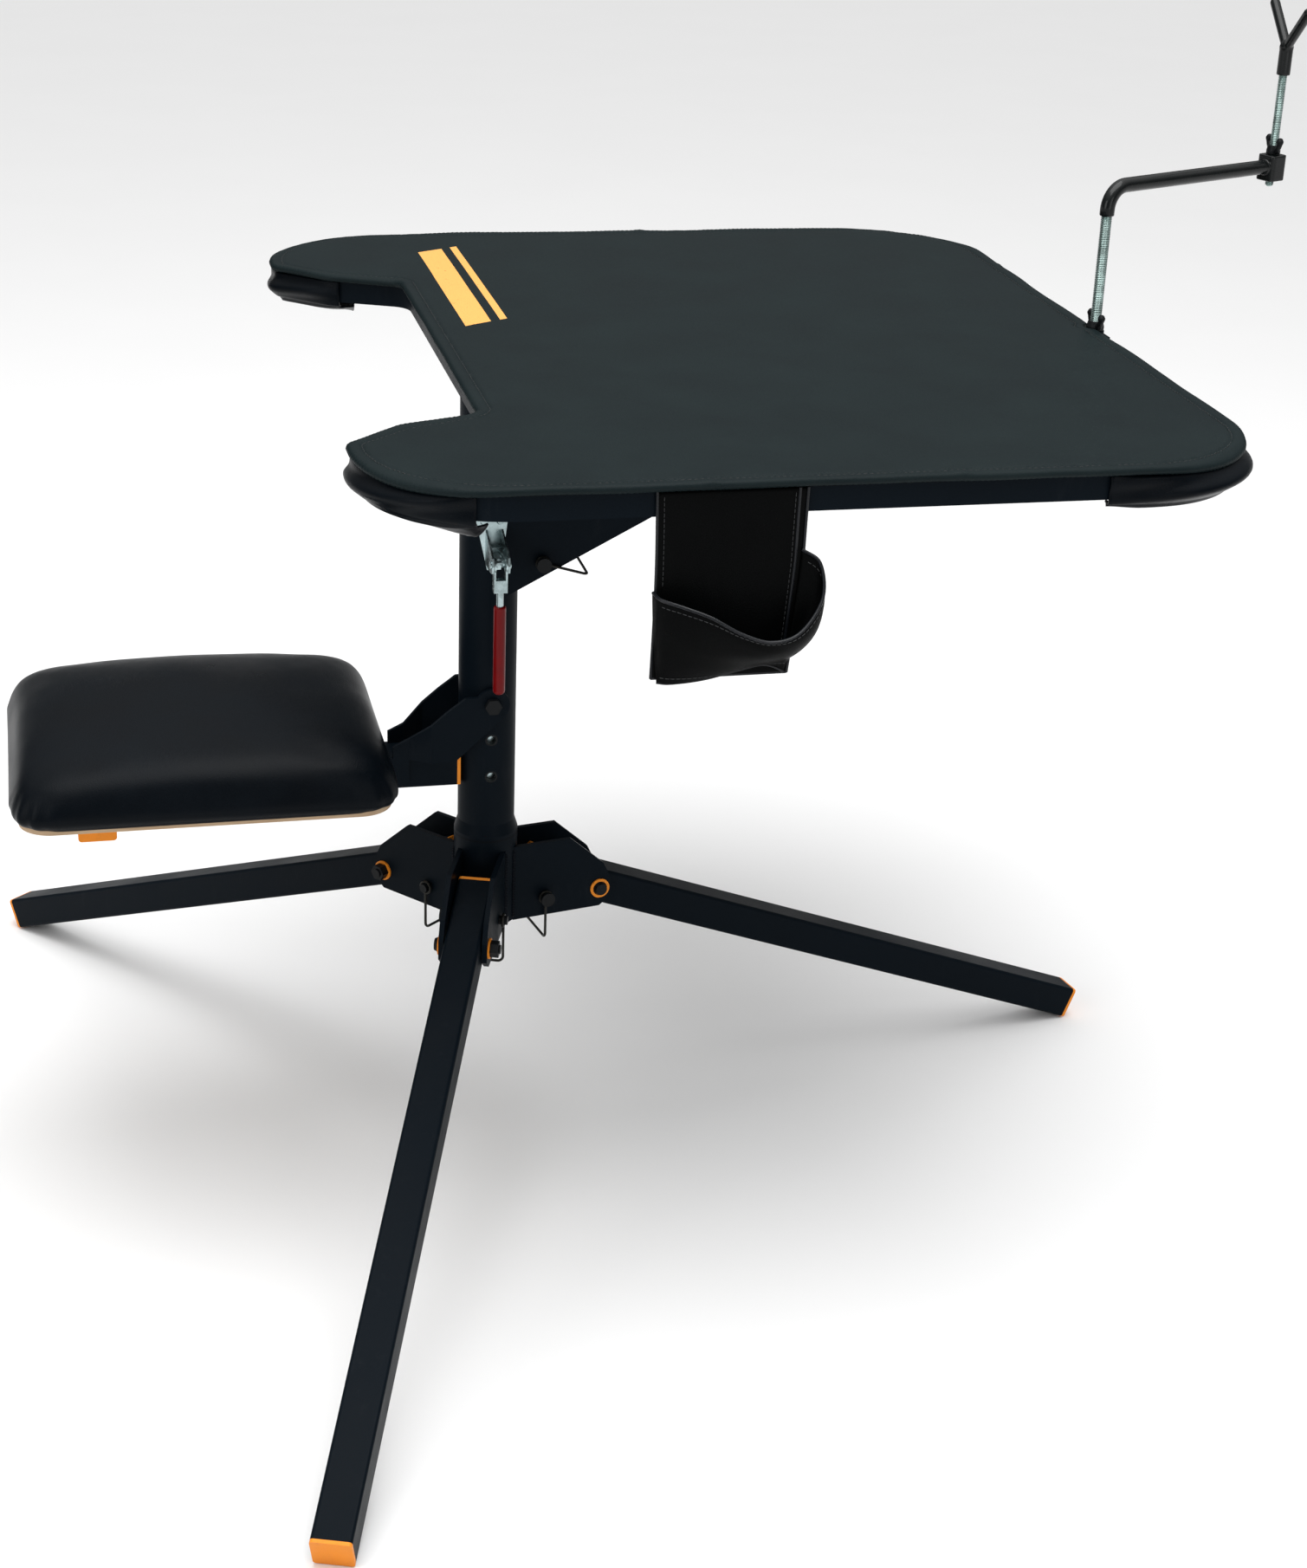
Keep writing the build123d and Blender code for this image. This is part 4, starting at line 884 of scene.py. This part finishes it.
def make_pouch():
    """The leatherette pouch sewn to a strap that hangs from the right side rail."""
    strap = pouch_cloth("pouch_strap_cloth",
                        [[strap_point(i / 40, j / 44) for j in range(45)] for i in range(41)])
    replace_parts(strap, "pouch_strap")
    bag = pouch_cloth("pouch_bag_cloth",
                      [[bag_point(i / 64, j / 36) for j in range(37)] for i in range(65)])
    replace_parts(bag, "pouch_bag")

    def across(t, lift=0, first=0, last=64):
        return [bag_point(i / 64, t) + FRONT * lift for i in range(first, last + 1)]

    def upright(s, lift, first=0, last=44):
        return [strap_point(s, j / 44) + FRONT * lift for j in range(first, last + 1)]

    trims = bmesh.new()
    for line, radius in ((across(1), 1.35), (upright(0, 0), 1.15), (upright(0.945, 0.6 * MM), 1.25),
                         (upright(1.0, 0.6 * MM), 1.25),
                         ([strap_point(i / 40, 0) for i in range(41)], 1.15), (across(0), 1.1)):
        add_tube(trims, line, radius * MM, 8)
    # The hems take the trim's lighter colour, which is painted highlight.
    piece("pouch_hems", trims, "column", TRIM_WITH_PAINTED_HIGHLIGHT)
    thread = bmesh.new()
    over = 0.95 * MM
    for line in (across(0.93, over, 2, 62), upright(0.918, over, 1, 43),
                 upright(0.045, over, 22, 43), across(0.07, over, 2, 62)):
        add_stitches(thread, line, 4.2 * MM, away=FRONT)
    piece("pouch_stitches", thread, "column", THREAD)


make_pouch()

# ---- seat cushion
SEAT_LOW, SEAT_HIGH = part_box("seat_cushion")
SEAT_MID = (SEAT_LOW + SEAT_HIGH) / 2
SEAT_HALF = (SEAT_HIGH - SEAT_LOW) / 2
SEAT_SIDE = 20 * MM      # height of the cushion's upright side
SEAT_ROUND = 44 * MM     # how far in from the edge the crown starts
SEAT_MARGIN = 3 * MM     # the start shape is this much smaller all round
CUSHION_CAP = 6 * MM     # most that the foam may push a point out
PRESSURE = 4.0


def seat_crown(u, v):
    """Height of the cushion's crown over its base at u, v from -1 to 1."""
    full = 2 * SEAT_HALF.z - 4 * MM
    return full * (1 - 0.22 * abs(u) ** 2.2) * (1 - 0.24 * abs(v) ** 2.2)


def seat_ring(inset):
    """Rounded rectangle inset from the cushion's outline, always with the same count of points."""
    a, b = SEAT_HALF.x - SEAT_MARGIN - inset, SEAT_HALF.y - SEAT_MARGIN - inset
    r = max(38 * MM - inset * 0.6, 3 * MM)
    r = min(r, a, b)
    arcs = []
    for cx, cy, start in ((1, 1, 0), (-1, 1, 90), (-1, -1, 180), (1, -1, 270)):
        spins = [radians(start + 7.5 * k) for k in range(13)]
        arcs.append([Vector((cx * (a - r) + r * cos(t), cy * (b - r) + r * sin(t))) for t in spins])
    made = []
    for arc, after in zip(arcs, arcs[1:] + arcs[:1]):
        made += arc + [arc[-1].lerp(after[0], k / 24) for k in range(1, 24)]
    return made


def make_seat_start():
    """Closed crowned block that the cushion is blown up from."""
    bm = bmesh.new()
    rings = []
    for inset, height in ((30, 0), (12, 0), (4, 0.5), (1, 4), (0, 9), (0, 14)):
        rings.append([bm.verts.new((SEAT_MID.x + p.x, SEAT_MID.y + p.y, SEAT_LOW.z + height * MM))
                      for p in seat_ring(inset * MM)])
    for inset in (0, 0.5, 1.5, 3, 5.5, 9, 13, 18, 24, 31, 40, 55, 75, 100, 125):
        ring = []
        for p in seat_ring(inset * MM):
            crown = seat_crown(p.x / SEAT_HALF.x, p.y / SEAT_HALF.y)
            roll = sqrt(max(0, 1 - (1 - min(inset * MM, SEAT_ROUND) / SEAT_ROUND) ** 2))
            ring.append(bm.verts.new((SEAT_MID.x + p.x, SEAT_MID.y + p.y,
                                      SEAT_LOW.z + SEAT_SIDE + (crown - SEAT_SIDE) * roll)))
        rings.append(ring)
    skin(bm, rings)
    bmesh.ops.recalc_face_normals(bm, faces=bm.faces)
    return bm


def remeshed(obj, voxel, rounds):
    """A voxel remesh of an object, smoothed, as a new mesh; the object is removed."""
    grid = obj.modifiers.new("voxels", "REMESH")
    grid.mode = "VOXEL"
    grid.voxel_size = voxel
    relax = obj.modifiers.new("relax", "SMOOTH")
    relax.iterations = rounds
    relax.factor = 0.5
    view = bpy.context.evaluated_depsgraph_get()
    mesh = bpy.data.meshes.new_from_object(obj.evaluated_get(view))
    bpy.data.objects.remove(obj)
    return mesh


def blown_up(mesh, pinned, frames=20):
    """Mesh coordinates after the skin is inflated as cloth, no point moving past the cap."""
    balloon = place("balloon", mesh)
    group = balloon.vertex_groups.new(name="pinned")
    group.add([v.index for v in mesh.vertices if pinned(v.co)], 1.0, "ADD")
    cloth = balloon.modifiers.new("skin", "CLOTH")
    cloth.settings.use_pressure = True
    cloth.settings.uniform_pressure_force = PRESSURE
    cloth.settings.vertex_group_mass = "pinned"
    cloth.settings.effector_weights.gravity = 0
    cloth.settings.quality = 4
    cloth.settings.tension_stiffness = 25
    cloth.settings.compression_stiffness = 25
    cloth.settings.bending_stiffness = 6
    cloth.collision_settings.use_collision = False
    scene = bpy.context.scene
    scene.frame_start = 1
    cloth.point_cache.frame_start = 1
    cloth.point_cache.frame_end = frames
    for number in range(1, frames + 1):
        scene.frame_set(number)
    view = bpy.context.evaluated_depsgraph_get()
    swollen = balloon.evaluated_get(view).data
    made = []
    for before, after in zip(mesh.vertices, swollen.vertices):
        move = after.co - before.co
        if move.length > CUSHION_CAP:
            move *= CUSHION_CAP / move.length
        made.append(before.co + move)
    bpy.data.objects.remove(balloon)
    scene.frame_set(1)
    return made


def settle(mesh, rounds):
    """Pulls small creases out of a skin."""
    bm = bmesh.new()
    bm.from_mesh(mesh)
    for _ in range(rounds):
        soften(bm)
    bm.to_mesh(mesh)
    bm.free()


def seat_detail(co):
    """Puckers and pulls of the cover where it is stretched over the board's corners."""
    u = (co.x - SEAT_MID.x) / SEAT_HALF.x
    v = (co.y - SEAT_MID.y) / SEAT_HALF.y
    height = (co.z - SEAT_LOW.z) / (2 * SEAT_HALF.z)
    spin = atan2(abs(v) - 0.72, abs(u) - 0.74)
    near = exp(-(((abs(u) - 0.96) / 0.16) ** 2 + ((abs(v) - 0.96) / 0.16) ** 2))
    pleat = sin(spin * 15 + 3 * u) * near * (1 - smoothstep(0.18, 0.75, height))
    sweep = noise.noise(Vector((u * 2.4 + 5, v * 2.4, height * 1.5)))
    out = Vector((u, v, 0)).normalized()
    tuck = 3.0 * MM * (1 - smoothstep(0.0, 0.20, height))
    ear = 4.5 * MM * near * (1 - smoothstep(0.05, 0.40, height))
    hollow = 3.5 * MM * (exp(-((height - 0.42) / 0.22) ** 2)
                         * max(smoothstep(0.80, 0.98, abs(u)), smoothstep(0.80, 0.98, abs(v))))
    push = 1.7 * MM * pleat - tuck + ear - hollow
    return co + out * push + UP * (1.3 * MM * sweep * height)


def make_seat_cushion():
    """Domed foam cushion, its cover pulled tight under the board."""
    start = place("seat_start", as_mesh("seat_start", make_seat_start()))
    mesh = remeshed(start, 5 * MM, 2)
    low = SEAT_LOW.z + 3 * MM
    for vertex, co in zip(mesh.vertices, blown_up(mesh, lambda c: c.z < low)):
        vertex.co = co
    settle(mesh, 14)
    for vertex in mesh.vertices:
        if vertex.co.z > low:
            vertex.co = seat_detail(vertex.co)
        vertex.co.z = max(vertex.co.z, SEAT_LOW.z)
    cushion = piece("seat_cushion_cover", mesh, "seat", SEAT_SKIN, 80)
    finer = cushion.modifiers.new("finer", "SUBSURF")
    finer.levels = finer.render_levels = 1
    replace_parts(cushion, "seat_cushion")


make_seat_cushion()

# ---- threaded rods
def make_rod(node, body, pitch, depth, name):
    """A threaded rod in the place of a plain one."""
    low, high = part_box(node)
    centre, radius = (low + high) / 2, (high.x - low.x) / 2
    sides, steps = 28, 6            # round the rod, and along one turn of the thread
    rows = round((high.z - low.z) / pitch * steps)
    bm = bmesh.new()
    rings = []
    for i in range(rows + 1):
        z = low.z + (high.z - low.z) * i / rows
        tip = min(z - low.z, high.z - z)
        chamfer = max(0.0, 1 - tip / (1.6 * MM)) * 1.5 * MM
        ring = []
        for k in range(sides):
            spin = 2 * pi * k / sides
            wave = (z - low.z) / pitch - k / sides
            groove = abs(2 * (wave - floor(wave)) - 1)
            r = radius - max(chamfer, depth * (1 - smoothstep(0.05, 0.9, groove)))
            ring.append(bm.verts.new((centre.x + r * cos(spin), centre.y + r * sin(spin), z)))
        rings.append(ring)
    skin(bm, rings)
    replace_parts(piece(name, bm, body, ROD_ZINC, 50), node)


make_rod("rest_rod", "rod", 1.5 * MM, 0.85 * MM, "rest_rod_threaded")
make_rod("yoke_rod", "fork_rod", 1.25 * MM, 0.75 * MM, "yoke_rod_threaded")


# ---- dipped arm and fork
def make_dipped(node, body, voxel, rounds, name):
    """A part thick with soft plastic dip: its corners flow together."""
    mesh = remeshed(place(name, nodes[node].data.copy()), voxel, rounds)
    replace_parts(piece(name, mesh, body, BLACK_DIP, 80), node)


make_dipped("rest_arm", "arm", 0.8 * MM, 8, "rest_arm_dipped")
make_dipped("yoke", "fork", 0.7 * MM, 8, "yoke_dipped")


# ---- wing nuts
def make_wing_nut(node, body, bore, boss, name):
    """A cast wing nut: a round boss and two leaning ears, across Y."""
    low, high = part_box(node)
    centre = (low + high) / 2
    tall = high.z - low.z
    span = max(high.y - low.y, high.x - low.x) / 2
    bm = bmesh.new()
    sides = 32
    profile = ((bore, 0.0), (boss, 0.0), (boss * 1.02, tall * 0.20), (boss * 0.86, tall * 0.46),
               (bore + 1.6 * MM, tall * 0.52), (bore, tall * 0.48))
    rings = [[bm.verts.new(p) for p in circle(centre, r, sides, low.z + z)] for r, z in profile]
    skin(bm, rings, True)
    bmesh.ops.recalc_face_normals(bm, faces=bm.faces)
    for side in (1, -1):
        way = Vector((0, side, 0))
        root = Vector((centre.x, centre.y, low.z))
        path = [root + way * out + UP * rise for out, rise in (
            (boss * 0.80, tall * 0.22), (boss + (span - boss) * 0.35, tall * 0.45),
            (boss + (span - boss) * 0.62, tall * 0.68), (span - 3.3 * MM, tall - 3.6 * MM))]
        run = [through(path, k / 14) for k in range(15)]
        for more in (2.2, 0.9):
            run.append(run[-1] + (run[-1] - run[-2]).normalized() * more * MM)
        thick = [3.1] * 3 + [2.9] * 3 + [2.8] * 3 + [3.0, 3.2, 3.4, 3.5, 3.5, 3.4, 2.6, 1.3]
        add_tube(bm, run, lambda i: thick[i] * MM, 14)
    mesh = remeshed(place("rough_nut", as_mesh("rough_nut", bm)), 0.5 * MM, 6)
    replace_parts(piece(name, mesh, body, OXIDE, 80), node)


make_wing_nut("rest_wing_nut", "rod_nut", 5.05 * MM, 8 * MM, "rest_wing_nut_cast")
make_wing_nut("yoke_wing_nut", "arm_nut", 4.05 * MM, 6.5 * MM, "yoke_wing_nut_cast")

# ---- weld beads
HUB_R = 28.6 * MM
POST_R = 25.4 * MM
BRACKET_HALF = 21.5 * MM         # leg's middle plane to its cheek plates' outer faces
LEG_AZIMUTHS = (10.65, 130.65, 250.65)
CENTRE_FACE = 22.6 * MM          # middle plane to the centre rails' beads
BEAD_Z = 0.7035                  # rails' mid height
PLATE_BASE = 0.3602              # seat arm plates' lower edge
PLATE_END = -0.1222


def make_welds():
    """Fillet beads where the steel parts are welded together."""
    bm = bmesh.new()
    reach = sqrt(HUB_R ** 2 - BRACKET_HALF ** 2)
    for k, azimuth in enumerate(LEG_AZIMUTHS):
        way = Vector((cos(radians(azimuth)), sin(radians(azimuth)), 0))
        across = Vector((-way.y, way.x, 0))
        for side in (1, -1):
            foot = way * reach + across * (side * BRACKET_HALF)
            add_weld(bm, foot + UP * 0.222, foot + UP * 0.289, 2.1 * MM, seed=k * 2 + side)
    piece("hub_welds", bm, "hub", BEAD)

    bm = bmesh.new()
    side_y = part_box("gusset_plates")[1].y
    x = sqrt(POST_R ** 2 - side_y ** 2) + 0.4 * MM
    for side, a, b in ((1, 0.536, 0.664), (-1, 0.536, 0.551), (-1, 0.618, 0.664)):
        add_weld(bm, (x, side * side_y, a), (x, side * side_y, b), 1.9 * MM, seed=side)
    low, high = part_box("rest_socket")
    x = low.x + 0.6 * MM
    for y in (low.y + 1 * MM, high.y - 1 * MM):
        add_weld(bm, (x, y, low.z + 2 * MM), (x, y, 0.722), 1.3 * MM, seed=3)
    for y in (CENTRE_FACE, -CENTRE_FACE):
        for a, b, seed in ((0.292, 0.240, 8), (0.160, 0.100, 9)):
            add_weld(bm, (a, y, BEAD_Z), (b, y, BEAD_Z), 1.4 * MM, seed=seed)
    piece("column_welds", bm, "column", BEAD)

    bm = bmesh.new()
    low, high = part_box("seat_beam")
    x = low.x + 0.4 * MM
    for z in (low.z + 0.8 * MM, high.z - 0.8 * MM):
        add_weld(bm, (x, low.y + 1 * MM, z), (x, high.y - 1 * MM, z), 1.8 * MM, seed=4)
    for y in (low.y, high.y):
        add_weld(bm, (x, y, low.z + 2 * MM), (x, y, high.z - 2 * MM), 1.8 * MM, seed=5)
    for side in (1, -1):
        y = side * (high.y + 1.6 * MM)
        add_weld(bm, (-0.121, y, PLATE_BASE), (-0.075, y, PLATE_BASE), 1.6 * MM, seed=6)
        y = side * (high.y + 1.2 * MM)
        add_weld(bm, (PLATE_END, y, 0.3615), (PLATE_END, y, 0.3855), 1.6 * MM, seed=7)
    piece("seat_welds", bm, "seat", BEAD)


make_welds()


# ---- floor and light
def make_floor():
    """A plain pale floor, not part of the object."""
    reach, drop = 40.0, 0.5 * MM
    bm = bmesh.new()
    bm.faces.new([bm.verts.new((x * reach, y * reach, -drop))
                  for x, y in ((-1, -1), (1, -1), (1, 1), (-1, 1))])
    ground = place("floor", as_mesh("floor", bm))
    p = Paint("pale_floor", (0.82, 0.82, 0.82), 0.7, Specular_IOR_Level=0.1)
    p.colour(p.blend(p.noise(3, 3, 0.5), (0.81, 0.81, 0.81), (0.83, 0.83, 0.83)))
    ground.data.materials.append(p.mat)


def add_light(name, at, target, size, power):
    """A soft square light aimed at a point."""
    light = bpy.data.lights.new(name, "AREA")
    light.shape = "SQUARE"
    light.size = size
    light.energy = power
    lamp = place(name, light)
    lamp.location = at
    lamp.rotation_mode = "QUATERNION"
    lamp.rotation_quaternion = (Vector(target) - Vector(at)).to_track_quat("-Z", "Y")


BACKDROP = 0.86


def make_studio():
    """Pale surroundings with a large soft light from above and two weak fills."""
    world = bpy.data.worlds.new("studio")
    bpy.context.scene.world = world
    world.use_nodes = True
    tree = world.node_tree
    background = tree.nodes["Background"]
    split = tree.nodes.new("ShaderNodeSeparateXYZ")
    tree.links.new(tree.nodes.new("ShaderNodeTexCoord").outputs["Generated"],
                   split.inputs["Vector"])
    dome = tree.nodes.new("ShaderNodeMapRange")
    dome.interpolation_type = "SMOOTHSTEP"
    for key, value in (("From Min", 0.25), ("From Max", 0.95),
                       ("To Min", 0.16), ("To Max", 1.45)):
        dome.inputs[key].default_value = value
    tree.links.new(split.outputs["Z"], dome.inputs["Value"])
    backdrop = tree.nodes.new("ShaderNodeMix")      # plain and pale wherever it is seen itself
    tree.links.new(tree.nodes.new("ShaderNodeLightPath").outputs["Is Camera Ray"],
                   backdrop.inputs["Factor"])
    tree.links.new(dome.outputs["Result"], backdrop.inputs["A"])
    backdrop.inputs["B"].default_value = BACKDROP
    tree.links.new(backdrop.outputs["Result"], background.inputs["Strength"])
    background.inputs["Color"].default_value = (1.0, 1.0, 1.0, 1)
    add_light("overhead", (0.2, -0.4, 3.2), (0.1, 0.0, 0.5), 2.6, 85)
    add_light("left_fill", (-2.4, -1.6, 1.5), (0.0, 0.0, 0.5), 1.6, 22)
    add_light("front_fill", (1.2, -2.8, 1.2), (0.1, 0.0, 0.5), 1.4, 10)
    bpy.context.scene.view_settings.view_transform = "Standard"


make_floor()
make_studio()
